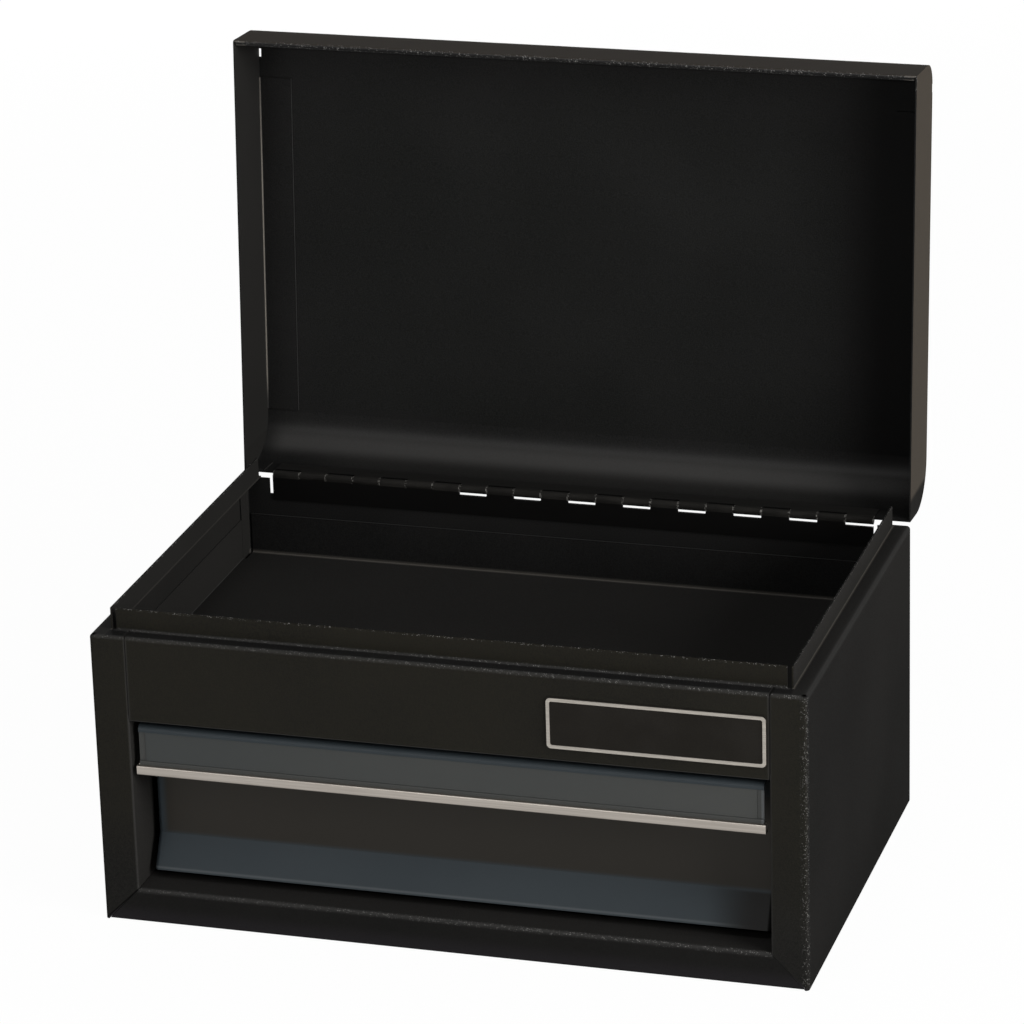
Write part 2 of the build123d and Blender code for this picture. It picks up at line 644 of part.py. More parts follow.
# Aluminium clip along the pull's lower edge, a little longer than the pull.
with BuildPart() as pull_trim:
    trim_bottom = PULL_BOTTOM - (TRIM_HEIGHT - TRIM_LAP)
    trim_front = PULL_FACE - TRIM_PROUD
    trim_depth = TRIM_PROUD + PULL_SHEET + TRIM_BACK
    with BuildSketch(Plane.YZ):
        with Locations((trim_front, trim_bottom)):
            Rectangle(trim_depth, TRIM_HEIGHT, align=(Align.MIN, Align.MIN))
        with Locations((PULL_FACE, PULL_BOTTOM)):
            Rectangle(PULL_SHEET, TRIM_HEIGHT, align=(Align.MIN, Align.MIN), mode=Mode.SUBTRACT)
    extrude(amount=DRAWER_HALF + TRIM_OVERHANG, both=True)
    long_edges = pull_trim.edges().filter_by(Axis.X).group_by(Axis.Y)[0]
    fillet(long_edges.sort_by(Axis.Z)[0], radius=TRIM_EDGE)
    fillet(pull_trim.edges().filter_by(Axis.X).group_by(Axis.Y)[0].sort_by(Axis.Z)[-1], radius=TRIM_EDGE / 2)
save(pull_trim.part, "pull_trim")


# ------------------------------------------------------------------ ball slides
def rivet_places(face_x, direction):
    """Planes at a right-hand slide's rivets, on the face at face_x."""
    return [
        Plane(origin=(face_x, y, SLIDE_Z), z_dir=(direction, 0, 0))
        for y in (SLIDE_FRONT + RIVET_INSET, SLIDE_REAR - RIVET_INSET)
    ]


with BuildPart() as right_slide_bracket:
    bracket_top = SLIDE_Z + SLIDE_HEIGHT / 2 + BRACKET_MARGIN
    bracket_bottom = SLIDE_Z - SLIDE_HEIGHT / 2 - BRACKET_MARGIN
    weld_face = SIDE_INNER - SHEET
    with BuildSketch(Plane.XZ.offset(-SLIDE_REAR)):
        folded_sheet(
            [
                (weld_face, bracket_top + BRACKET_FLANGE),
                (weld_face, bracket_top),
                (OPENING_HALF, bracket_top),
                (OPENING_HALF, bracket_bottom),
                (weld_face, bracket_bottom),
                (weld_face, bracket_bottom - BRACKET_FLANGE),
            ],
            [INSIDE_BEND, BEND, BEND, INSIDE_BEND],
            side=Side.LEFT,
        )
    extrude(amount=SLIDE_LENGTH)
    with Locations(*rivet_places(OPENING_HALF, -1)):
        Hole(radius=RIVET_RADIUS + RIVET_PLAY, depth=SHEET)
save(right_slide_bracket.part, "right_slide_bracket")

with BuildPart() as right_slide_outer:
    with BuildSketch(Plane.XZ.offset(-SLIDE_REAR)):
        folded_sheet(
            [
                (OPENING_HALF - SLIDE_LIP, SLIDE_Z + SLIDE_HEIGHT / 2),
                (OPENING_HALF, SLIDE_Z + SLIDE_HEIGHT / 2),
                (OPENING_HALF, SLIDE_Z - SLIDE_HEIGHT / 2),
                (OPENING_HALF - SLIDE_LIP, SLIDE_Z - SLIDE_HEIGHT / 2),
            ],
            [SLIDE_SHEET + INSIDE_BEND / 2, SLIDE_SHEET + INSIDE_BEND / 2],
            thickness=SLIDE_SHEET,
        )
    extrude(amount=SLIDE_LENGTH)
    with Locations(*rivet_places(OPENING_HALF, 1)):
        Hole(radius=RIVET_RADIUS + RIVET_PLAY, depth=SLIDE_SHEET)
save(right_slide_outer.part, "right_slide_outer")

with BuildPart() as right_slide_inner:
    with BuildSketch(Plane.XZ.offset(-SLIDE_REAR + INNER_LEAD)):
        folded_sheet(
            [
                (PAN_HALF + SLIDE_LIP, SLIDE_Z + INNER_HEIGHT / 2),
                (PAN_HALF, SLIDE_Z + INNER_HEIGHT / 2),
                (PAN_HALF, SLIDE_Z - INNER_HEIGHT / 2),
                (PAN_HALF + SLIDE_LIP, SLIDE_Z - INNER_HEIGHT / 2),
            ],
            [SLIDE_SHEET + INSIDE_BEND / 2, SLIDE_SHEET + INSIDE_BEND / 2],
            side=Side.LEFT,
            thickness=SLIDE_SHEET,
        )
    extrude(amount=SLIDE_LENGTH)
    with Locations(*rivet_places(PAN_HALF, -1)):
        Hole(radius=RIVET_RADIUS + RIVET_PLAY, depth=SLIDE_SHEET)
save(right_slide_inner.part, "right_slide_inner")

with BuildPart() as right_ball_cage:
    with BuildSketch(Plane.XZ.offset(-CAGE_REAR)):
        folded_sheet(
            [
                (CAGE_WEB - CAGE_LIP, SLIDE_Z + BALL_ROW + CAGE_SHEET / 2),
                (CAGE_WEB, SLIDE_Z + BALL_ROW + CAGE_SHEET / 2),
                (CAGE_WEB, SLIDE_Z - BALL_ROW - CAGE_SHEET / 2),
                (CAGE_WEB - CAGE_LIP, SLIDE_Z - BALL_ROW - CAGE_SHEET / 2),
            ],
            [2 * CAGE_SHEET, 2 * CAGE_SHEET],
            thickness=CAGE_SHEET,
        )
    extrude(amount=CAGE_LENGTH)
    with Locations((BALL_X, CAGE_REAR - CAGE_LENGTH / 2, SLIDE_Z)):
        with GridLocations(0, BALL_SPACING, 1, BALLS_PER_ROW):
            Cylinder(BALL_RADIUS + BALL_CLEARANCE, SLIDE_HEIGHT, mode=Mode.SUBTRACT)
save(right_ball_cage.part, "right_ball_cage")

with BuildPart() as right_balls:
    for row in (-BALL_ROW, BALL_ROW):
        with Locations((BALL_X, CAGE_REAR - CAGE_LENGTH / 2, SLIDE_Z + row)):
            with GridLocations(0, BALL_SPACING, 1, BALLS_PER_ROW):
                Sphere(BALL_RADIUS)
save(right_balls.part, "right_balls")

for name, right_piece in (
    ("left_slide_bracket", right_slide_bracket),
    ("left_slide_outer", right_slide_outer),
    ("left_slide_inner", right_slide_inner),
    ("left_ball_cage", right_ball_cage),
    ("left_balls", right_balls),
):
    with BuildPart() as left_piece:
        mirror(right_piece.part, about=Plane.YZ)
    save(left_piece.part, name)


# ------------------------------------------------------------------ slide rivets
def rivet_row(head_face, tail_face):
    """Rivets of a right-hand slide whose heads lie on head_face and tails on tail_face."""
    direction = 1 if tail_face > head_face else -1
    grip = abs(tail_face - head_face)
    with Locations(*rivet_places(head_face, direction)):
        Cylinder(RIVET_RADIUS, grip, align=(Align.CENTER, Align.CENTER, Align.MIN))
        Cylinder(RIVET_HEAD, RIVET_HEAD_HEIGHT, align=(Align.CENTER, Align.CENTER, Align.MAX))
    with Locations(*rivet_places(tail_face, direction)):
        Cylinder(RIVET_HEAD, RIVET_HEAD_HEIGHT, align=(Align.CENTER, Align.CENTER, Align.MIN))


with BuildPart() as slide_bracket_rivets:
    rivet_row(OPENING_HALF - SLIDE_SHEET, OPENING_HALF + SHEET)
    mirror(about=Plane.YZ)
save(slide_bracket_rivets.part, "slide_bracket_rivets")

with BuildPart() as drawer_rivets:
    rivet_row(PAN_HALF + SLIDE_SHEET, PAN_HALF - SHEET)
    mirror(about=Plane.YZ)
save(drawer_rivets.part, "drawer_rivets")
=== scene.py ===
"""Dresses a small steel tool chest: powder-coated case and lid, slate drawer, piano hinge.

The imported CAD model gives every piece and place, in metres: X along the front, which looks
along -Y, and Z up. This script gives the surfaces their finishes, and sets the studio and the
camera.
"""

import logging
from abc import ABC, abstractmethod
from dataclasses import dataclass
from enum import Enum
from typing import Any

import bpy
from mathutils import Matrix, Vector


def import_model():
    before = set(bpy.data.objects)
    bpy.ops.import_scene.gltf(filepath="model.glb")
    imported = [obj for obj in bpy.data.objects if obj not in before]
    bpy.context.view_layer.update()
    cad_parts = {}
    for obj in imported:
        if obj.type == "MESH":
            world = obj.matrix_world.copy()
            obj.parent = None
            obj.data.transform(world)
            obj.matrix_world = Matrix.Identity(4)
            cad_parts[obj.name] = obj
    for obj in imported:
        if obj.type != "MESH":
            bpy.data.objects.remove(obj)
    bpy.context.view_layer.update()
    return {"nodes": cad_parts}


LOG = logging.getLogger("tool_chest")
MM = 0.001

Colour = tuple[float, float, float]
Point = tuple[float, float, float]
Span = tuple[float, float]


class Slot(Enum):
    """The record's material slots."""

    POWDER_COAT = "black_powder_coat"
    HINGE_STEEL = "hinge_steel"
    SLATE_PAINT = "slate_paint"
    PAN_PAINT = "drawer_pan_paint"
    PLATE_FIELD = "plate_field"
    PLATE_BORDER = "plate_border"
    LABEL_STRIP = "label_strip"
    TRIM_ALUMINIUM = "trim_aluminium"
    ZINC_STEEL = "zinc_plated_steel"
    BALL_STEEL = "bearing_steel"
    RIVET_STEEL = "rivet_steel"


class Axis(Enum):
    """An axis of the part, as an index."""

    X = 0
    Y = 1
    Z = 2


# ------------------------------------------------------------------------ shader maths
class Signal:
    """A node's output that takes part in arithmetic: each operator adds a Math node."""

    def __init__(self, shader: "Shader", socket: bpy.types.NodeSocket) -> None:
        """Wraps a socket.

        Args:
            shader: the material that the socket is in.
            socket: the output socket.
        """
        self.shader = shader
        self.socket = socket

    def math(self, operation: str, first: Any, second: Any = 0.0, clamp: bool = False) -> "Signal":
        """Adds a Math node.

        Args:
            operation: the node's operation.
            first: its first value or link.
            second: its second value or link.
            clamp: whether the result stays between 0 and 1.

        Returns:
            The node's result.
        """
        settings = {"operation": operation, "use_clamp": clamp}
        return self.shader.node("ShaderNodeMath", settings, {0: first, 1: second})

    def __add__(self, other: Any) -> "Signal":
        """Self plus other."""
        return self.math("ADD", self, other)

    def __radd__(self, other: Any) -> "Signal":
        """Other plus self."""
        return self.math("ADD", other, self)

    def __sub__(self, other: Any) -> "Signal":
        """Self less other."""
        return self.math("SUBTRACT", self, other)

    def __rsub__(self, other: Any) -> "Signal":
        """Other less self."""
        return self.math("SUBTRACT", other, self)

    def __mul__(self, other: Any) -> "Signal":
        """Self times other."""
        return self.math("MULTIPLY", self, other)

    def __rmul__(self, other: Any) -> "Signal":
        """Other times self."""
        return self.math("MULTIPLY", other, self)

    def __truediv__(self, other: Any) -> "Signal":
        """Self over other."""
        return self.math("DIVIDE", self, other)

    def __pow__(self, other: Any) -> "Signal":
        """Self to the power of other."""
        return self.math("POWER", self, other)

    def __abs__(self) -> "Signal":
        """Self without its sign."""
        return self.math("ABSOLUTE", self)

    def clamped(self) -> "Signal":
        """Self, kept between 0 and 1."""
        return self.math("ADD", self, 0.0, clamp=True)

    def most(self, other: Any) -> "Signal":
        """The greater of self and other."""
        return self.math("MAXIMUM", self, other)

    def step(self, low: float, high: float) -> "Signal":
        """A smooth step.

        Args:
            low: where the step begins.
            high: where it ends; below low, the step falls.

        Returns:
            0 before low and 1 after high.
        """
        settings = {"interpolation_type": "SMOOTHSTEP"}
        falls = low > high
        sockets = {
            "Value": self,
            "From Min": min(low, high),
            "From Max": max(low, high),
            "To Min": 1.0 if falls else 0.0,
            "To Max": 0.0 if falls else 1.0,
        }
        return self.shader.node("ShaderNodeMapRange", settings, sockets)

    def band(self, low: float, high: float, soft: float) -> "Signal":
        """A smooth band.

        Args:
            low: the band's lower edge.
            high: its upper edge.
            soft: the width of the fade at each edge.

        Returns:
            1 between low and high, and 0 outside.
        """
        rise = self.step(low - soft / 2, low + soft / 2)
        fall = self.step(high + soft / 2, high - soft / 2)
        return rise * fall


class Shader:
    """The node tree of a material or of the world."""

    def __init__(self, owner: bpy.types.Material | bpy.types.World) -> None:
        """Empties the owner's tree.

        Args:
            owner: the material or the world.
        """
        self.owner = owner
        owner.use_nodes = True
        self.tree = owner.node_tree
        self.tree.nodes.clear()

    def node(
        self,
        kind: str,
        settings: dict[str, Any] | None = None,
        sockets: dict[int | str, Any] | None = None,
        result: int | str = 0,
    ) -> Signal:
        """Adds a node.

        Args:
            kind: Blender's name for the node's type.
            settings: the node's own settings, such as its operation, which are set first.
            sockets: a value or a Signal for each input, by place, name or identifier.
            result: the output that is wanted.

        Returns:
            The chosen output.
        """
        made = self.tree.nodes.new(kind)
        for key, value in (settings or {}).items():
            setattr(made, key, value)
        for key, value in (sockets or {}).items():
            socket = self._find(made.inputs, key)
            if isinstance(value, Signal):
                self.tree.links.new(value.socket, socket)
            elif isinstance(value, tuple) and len(value) == 3 and socket.type == "RGBA":
                socket.default_value = (*value, 1.0)
            else:
                socket.default_value = value
        if not made.outputs:
            return Signal(self, None)
        return Signal(self, self._find(made.outputs, result))

    @staticmethod
    def _find(sockets: Any, key: int | str) -> bpy.types.NodeSocket:
        """Finds a socket.

        Args:
            sockets: a node's inputs or outputs.
            key: its place, identifier or name.

        Returns:
            The socket.
        """
        if isinstance(key, int):
            return sockets[key]
        for socket in sockets:
            if socket.identifier == key:
                return socket
        return sockets[key]

    def place(self) -> Signal:
        """The place on the part, in metres."""
        return self.node("ShaderNodeTexCoord", result="Object")

    def along(self, axis: Axis) -> Signal:
        """One coordinate of the place on the part."""
        return self.node("ShaderNodeSeparateXYZ", sockets={0: self.place()}, result=axis.value)

    def facing(self, axis: Axis) -> Signal:
        """How far the surface faces along an axis of the part, from -1 to 1."""
        normal = self.node("ShaderNodeTexCoord", result="Normal")
        return self.node("ShaderNodeSeparateXYZ", sockets={0: normal}, result=axis.value)

    def on_bend(self, low: float, high: float) -> Signal:
        """Where the sheet is bent, so that it faces along none of the axes.

        Args:
            low: the tilt at which the bend begins to count.
            high: the tilt at which it counts in full.

        Returns:
            A mask.
        """
        squarest = abs(self.facing(Axis.X)).most(abs(self.facing(Axis.Y)))
        squarest = squarest.most(abs(self.facing(Axis.Z)))
        return (1 - squarest).step(low, high)

    def near_line(
        self, first: tuple[Axis, float], second: tuple[Axis, float], reach: float
    ) -> Signal:
        """Where the surface lies near a straight edge that runs along the third axis.

        Args:
            first: an axis and the edge's place on it; both of its sides count for X.
            second: another axis and the edge's place on it.
            reach: how far from the edge the mask ends.

        Returns:
            A mask that falls smoothly from the edge outwards.
        """
        offsets = []
        for axis, where in (first, second):
            place = abs(self.along(axis)) if axis is Axis.X else self.along(axis)
            offsets.append(place - where)
        distance = (offsets[0] * offsets[0] + offsets[1] * offsets[1]) ** 0.5
        return distance.step(reach, 0.25 * reach)

    def noise(self, size: float, detail: float, stretch: Point = (1.0, 1.0, 1.0)) -> Signal:
        """Noise about 0.5.

        Args:
            size: the size of its lumps, in metres.
            detail: its detail.
            stretch: how much closer the lumps lie along each axis.

        Returns:
            The noise, mostly between 0.3 and 0.7.
        """
        where = self.place()
        if stretch != (1.0, 1.0, 1.0):
            settings = {"operation": "MULTIPLY"}
            where = self.node("ShaderNodeVectorMath", settings, {0: where, 1: stretch})
        sockets = {"Vector": where, "Scale": 1.0 / size, "Detail": detail, "Roughness": 0.55}
        return self.node("ShaderNodeTexNoise", {"noise_dimensions": "3D"}, sockets, "Fac")

    def grains(self, size: float) -> Signal:
        """Distance from the middle of scattered grains, in parts of their size.

        Args:
            size: the grains' spacing, in metres.

        Returns:
            0 at a grain's middle, rising outwards.
        """
        sockets = {"Vector": self.place(), "Scale": 1.0 / size, "Randomness": 1.0}
        return self.node("ShaderNodeTexVoronoi", {"feature": "F1"}, sockets, "Distance")

    def mix(self, share: Any, first: Any, second: Any) -> Signal:
        """Mixes two colours.

        Args:
            share: the second colour's share.
            first: the first colour.
            second: the second colour.

        Returns:
            The mixed colour.
        """
        settings = {"data_type": "RGBA", "clamp_factor": True}
        sockets = {"Factor_Float": share, "A_Color": first, "B_Color": second}
        return self.node("ShaderNodeMix", settings, sockets, "Result_Color")

    def bump(self, height: Signal, depth: float, strength: float) -> Signal:
        """Turns a height into a normal.

        Args:
            height: the height, from 0 to 1.
            depth: what a height of 1 stands for, in metres.
            strength: the share of the effect.

        Returns:
            The normal.
        """
        sockets = {"Height": height, "Distance": depth, "Strength": strength}
        return self.node("ShaderNodeBump", {}, sockets, "Normal")

    def surface(self, **sockets: Any) -> bpy.types.Material:
        """Adds the Principled surface and ends the material.

        Args:
            **sockets: its inputs by name, with _ for a space.

        Returns:
            The material.
        """
        named = {key.replace("_", " "): value for key, value in sockets.items()}
        shown = self.node("ShaderNodeBsdfPrincipled", {}, named)
        self.node("ShaderNodeOutputMaterial", {}, {"Surface": shown})
        return self.owner


# ---------------------------------------------------------------------------- finishes
class Finish(ABC):
    """What a surface is made of. Its material is made once."""

    slot: Slot
    made: dict["Finish", bpy.types.Material] = {}

    def material(self) -> bpy.types.Material:
        """Makes the finish's material, unless it is there.

        Returns:
            The material.
        """
        if self not in Finish.made:
            Finish.made[self] = self.paint(Shader(bpy.data.materials.new(self.slot.value)))
        return Finish.made[self]

    @abstractmethod
    def paint(self, shader: Shader) -> bpy.types.Material:
        """Builds the material.

        Args:
            shader: its empty tree.

        Returns:
            The material.
        """

    def dress(self, piece: bpy.types.Object) -> None:
        """Gives a piece this finish.

        Args:
            piece: a mesh object.
        """
        piece.data.materials.clear()
        piece.data.materials.append(self.material())


@dataclass(frozen=True)
class Lie:
    """How the surface of the case or lid lies at a point: signals that many masks share.

    Right, depth and height are its X, Y and Z, and across is X without its sign. The others
    are masks: inner is 0 only on the outer faces of the sides.
    """

    shader: Shader
    right: Signal
    across: Signal
    depth: Signal
    height: Signal
    upward: Signal
    sideways: Signal
    bend: Signal
    lid: Signal
    inner: Signal

    def near(self, first: tuple[Axis, float], second: tuple[Axis, float], reach: float) -> Signal:
        """The shader's near_line mask."""
        return self.shader.near_line(first, second, reach)


@dataclass(frozen=True)
class PowderCoat(Finish):
    """Black powder coat with a fine, dry texture, glints painted on grains along its edges, and
    painted light, shade, highlights and sheen in its colour.

    Places are on the part, a reach is how far from a fold its painted highlight spreads, a span
    is where a mask begins and ends, and a share is how much of a colour a mask lets in.
    """

    slot: Slot = Slot.POWDER_COAT

    film: Colour = (0.0064, 0.0064, 0.0063)
    worn: Colour = (0.0135, 0.0134, 0.0131)
    # Painted warm reflection on the case's front and its rim.
    warm_reflection: Colour = (0.0148, 0.0137, 0.0102)
    # Painted sheen on the lid's upward faces.
    top_sheen: Colour = (0.0180, 0.0138, 0.0093)
    # Painted light on sideways faces, the tray's floor, the ledges and the sill.
    dust_and_light: Colour = (0.0219, 0.0211, 0.0199)
    # Painted light on the lid's outer ends.
    cap: Colour = (0.0370, 0.0298, 0.0218)
    # Painted highlight on folds, flanges, seams and the lid's rear bend.
    fold_highlight: Colour = (0.036, 0.0355, 0.0345)
    # Brightest painted highlight, on the crests.
    rubbed_and_highlight: Colour = (0.140, 0.128, 0.112)
    cool: Colour = (0.0160, 0.0146, 0.0168)
    # Painted glints on grains along the edges.
    painted_glint: Colour = (0.24, 0.236, 0.228)
    # Painted shade in the relief holes and on the lid's inside; also the dark mitre joint.
    gap_and_shade: Colour = (0.0008, 0.0008, 0.0008)

    grain: float = 0.6 * MM
    lump: float = 1.7 * MM
    cloud: float = 90 * MM
    speck: float = 0.8 * MM
    bump_depth: float = 0.22 * MM
    bump_share: float = 0.55
    coat_roughness: float = 0.42

    half: float = 200 * MM
    front: float = -128 * MM
    top: float = 170 * MM
    rail_top: float = 20 * MM
    opening: float = 179.5 * MM
    hole_x: float = 198 * MM
    hole_y: float = -126 * MM
    rim_front: float = -118.5 * MM
    rim_side: float = 190.5 * MM
    rim_top: float = 182.7 * MM
    tray_floor: float = 122 * MM
    tray_rear: float = 126.4 * MM
    flange_top: float = 146.3 * MM
    cap_flange: float = 179.8 * MM
    lid_rear: float = 126 * MM
    lid_rear_bend: float = 200 * MM
    lid_hem_y: float = 144 * MM
    lid_hem_z: float = 429 * MM

    rail_reach: float = 3.0 * MM
    header_reach: float = 2.5 * MM
    foot_reach: float = 1.8 * MM
    rim_reach: float = 1.1 * MM
    side_reach: float = 4.0 * MM
    stile_reach: float = 1.5 * MM
    tray_reach: float = 2.2 * MM
    corner_reach: float = 5.0 * MM
    hole_reach: float = 2.4 * MM

    bent: Span = (0.015, 0.16)
    upright: Span = (0.35, 0.8)
    level: Span = (0.45, 0.9)
    ahead: Span = (-0.3, -0.8)
    shine_low: Span = (0.28, 0.68)
    shine_high: Span = (0.96, 0.76)
    cloud_span: Span = (0.3, 0.7)
    grain_span: Span = (0.34, 0.68)
    dry_span: Span = (0.4, 0.7)
    speck_span: Span = (0.40, 0.16)
    patch_span: Span = (0.42, 0.62)

    # Shares of painted light on each kind of face.
    side_light: float = 0.34
    inner_light: float = 0.61
    far_light: float = 0.4
    floor_light: float = 0.7
    ledge_light: float = 0.6
    sill_light: float = 0.4
    rail_shade: float = 0.55
    rail_cool: float = 0.6
    lid_dim: float = 0.75
    fold_share: float = 0.55
    side_share: float = 0.7
    stile_share: float = 0.8
    seam_share: float = 0.6
    rim_share: float = 0.34
    corner_share: float = 0.95
    tray_share: float = 0.3
    glint_share: float = 0.85
    mitre_share: float = 0.8

    def lie(self, shader: Shader) -> Lie:
        """Finds how the surface lies.

        Args:
            shader: the material's tree.

        Returns:
            The signals that the masks share.
        """
        right = shader.along(Axis.X)
        height = shader.along(Axis.Z)
        return Lie(
            shader=shader,
            right=right,
            across=abs(right),
            depth=shader.along(Axis.Y),
            height=height,
            upward=shader.facing(Axis.Z).step(*self.level),
            sideways=abs(shader.facing(Axis.X)).step(*self.upright),
            bend=shader.on_bend(*self.bent),
            lid=height.step(self.rim_top, self.rim_top + 4 * MM),
            inner=abs(right).step(self.half - 0.5 * MM, self.half - 1.1 * MM),
        )

    def front_folds(self, lie: Lie) -> Signal:
        """The folds that run along the front: the rail's, the header's and the rim's foot.

        Args:
            lie: how the surface lies.

        Returns:
            A mask.
        """
        rail = lie.near((Axis.Y, self.front), (Axis.Z, self.rail_top), self.rail_reach)
        rail = rail * lie.across.step(self.opening + MM, self.opening - MM)
        foot = lie.near((Axis.Y, self.rim_front), (Axis.Z, self.top), self.foot_reach)
        foot = foot * lie.across.step(self.rim_side - MM, self.rim_side - 3 * MM)
        header = lie.near((Axis.Y, self.front), (Axis.Z, self.top), self.header_reach)
        return header.most(rail).most(foot)

    def fold_highlights(self, lie: Lie) -> Signal:
        """Where highlights are painted over the case's folds.

        Args:
            lie: how the surface lies.

        Returns:
            A mask.
        """
        side = lie.near((Axis.X, self.half), (Axis.Z, self.top), self.side_reach)
        stile = lie.near((Axis.X, self.opening), (Axis.Y, self.front), self.stile_reach)
        stile = stile * lie.height.step(self.rail_top - 4 * MM, self.rail_top)
        fold_highlights = self.front_folds(lie).most(side * self.side_share)
        return fold_highlights.most(stile * self.stile_share)

    def crest_highlights(self, lie: Lie) -> Signal:
        """The brightest painted highlights: the side rims' feet, the lid's inside corners, the
        tray's rear bend.

        Args:
            lie: how the surface lies.

        Returns:
            A mask.
        """
        foot = lie.near((Axis.X, self.rim_side), (Axis.Z, self.top), self.rim_reach)
        foot = foot * lie.depth.step(self.rim_front - MM, self.rim_front)
        corner = lie.across.band(self.half - 7 * MM, self.half - 0.8 * MM, 0.4 * MM) * lie.bend
        corner = corner * lie.height.step(self.lid_rear_bend, self.lid_rear_bend + 20 * MM)
        corner = corner * (0.45 + 0.55 * lie.height.step(400 * MM, 330 * MM))
        tray = lie.near((Axis.Y, self.tray_rear), (Axis.Z, self.tray_floor), self.tray_reach)
        tray = tray * lie.depth.step(self.tray_rear + 0.7 * MM, self.tray_rear + 0.3 * MM)
        tray = tray * lie.across.step(self.half - MM, self.half - 2 * MM)
        crest_highlights = (foot * self.rim_share).most(corner * self.corner_share)
        return crest_highlights.most(tray * self.tray_share)

    def glint_places(self, lie: Lie) -> Signal:
        """Where glints are painted on the coat's grains: front folds, right corner, rim, lid hem.

        Args:
            lie: how the surface lies.

        Returns:
            A mask.
        """
        corner = lie.near((Axis.X, self.half), (Axis.Y, self.front), self.corner_reach)
        corner = corner * lie.right.step(0.9 * self.half, self.half)
        rim = lie.height.band(self.rim_top - 1.0 * MM, self.rim_top + 0.3 * MM, 0.4 * MM)
        rim = rim * lie.depth.step(self.lid_rear, self.lid_rear - MM)
        hem = lie.height.step(self.lid_hem_z - 9 * MM, self.lid_hem_z - 6 * MM)
        hem = hem * lie.depth.step(self.lid_hem_y + 2.5 * MM, self.lid_hem_y + 1.0 * MM)
        front = self.front_folds(lie)
        front = front * (0.4 + 0.6 * lie.right.step(-self.half, 0.4 * self.half))
        return front.most(corner).most(rim).most(hem)

    def hole_shade_and_mitre(self, lie: Lie) -> Signal:
        """Painted shade in the relief holes at the top corners, and the dark mitre joint at the
        left foot.

        Args:
            lie: how the surface lies.

        Returns:
            A mask.
        """
        # Painted shade in the relief holes.
        hole = lie.near((Axis.X, self.hole_x), (Axis.Y, self.hole_y), self.hole_reach)
        hole = hole * lie.height.step(self.top - 1.4 * MM, self.top - 0.6 * MM)
        mitre = abs(self.below_mitre(lie)).step(0.75 * MM, 0.3 * MM)
        mitre = mitre * lie.right.step(0.0, -self.opening)
        mitre = mitre * lie.height.step(self.rail_top + 0.5 * MM, self.rail_top - 0.5 * MM)
        return hole.most(mitre * self.forward(lie) * self.mitre_share)

    def below_mitre(self, lie: Lie) -> Signal:
        """How far below the mitre between stile and rail a place on the front is."""
        slope = self.rail_top / (self.half - self.opening)
        return (self.half - lie.across) * slope - lie.height

    def forward(self, lie: Lie) -> Signal:
        """The case's front face."""
        return lie.depth.step(self.front + 1.2 * MM, self.front + 0.6 * MM)

    def bend_sheen(self, lie: Lie) -> Signal:
        """The painted sheen band along the lid's wide rear bend, fading towards its ends.

        Args:
            lie: how the surface lies.

        Returns:
            A mask.
        """
        upward = lie.shader.facing(Axis.Z)
        band = upward.step(*self.shine_low) * upward.step(*self.shine_high)
        low = lie.height.band(self.top, self.lid_rear_bend, 4 * MM)
        behind = lie.depth.step(self.lid_rear, self.lid_rear + 4 * MM)
        right_end = lie.right.step(self.half, 0.72 * self.half)
        left_end = lie.right.step(-self.half, -0.93 * self.half)
        return band * low * behind * (0.25 + 0.75 * right_end * left_end)

    def tint(self, lie: Lie, tone: Signal, colour: Signal) -> Signal:
        """Paints a warm reflection on the case's front and its rim, painted shade on the front
        rail with a lighter, cooler foot, and a painted sheen on the lid's top.

        Args:
            lie: how the surface lies.
            tone: the texture.
            colour: the colour so far.

        Returns:
            The new colour.
        """
        mix = lie.shader.mix
        forward = self.forward(lie) * (1 - lie.lid)
        low = lie.height.step(0.5 * self.top, self.rail_top)
        rim = lie.depth.band(self.rim_front - 0.5 * MM, self.rim_front + 0.5 * MM, 0.3 * MM)
        rim = rim * lie.height.step(self.top, self.top + 2 * MM) * (1 - lie.lid)
        # Painted warm reflection on the front, fading towards the bottom, and on the rim.
        warmed = (forward * (1 - 0.7 * low)).most(rim * 1.2)
        colour = mix(warmed * (0.3 + 0.6 * tone), colour, self.warm_reflection)
        # Painted shade on the front rail; its foot gets a lighter, cooler colour.
        rail = self.below_mitre(lie).step(-0.3 * MM, 0.3 * MM) * forward
        rail = rail * lie.height.step(self.rail_top + MM, self.rail_top - MM)
        colour = mix(rail * self.rail_shade, colour, self.film)
        foot = rail * lie.height.step(12 * MM, 2 * MM)
        colour = mix(foot * self.rail_cool, colour, self.cool)
        # Painted sheen on the lid's upward faces.
        return mix(lie.upward * lie.lid * (0.6 + 0.4 * tone), colour, self.top_sheen)

    def light_faces(self, lie: Lie, tone: Signal, colour: Signal) -> Signal:
        """Paints light on the walls, the tray's floor, the ledges and the sill behind the hinge.

        Args:
            lie: how the surface lies.
            tone: the texture.
            colour: the colour so far.

        Returns:
            The new colour.
        """
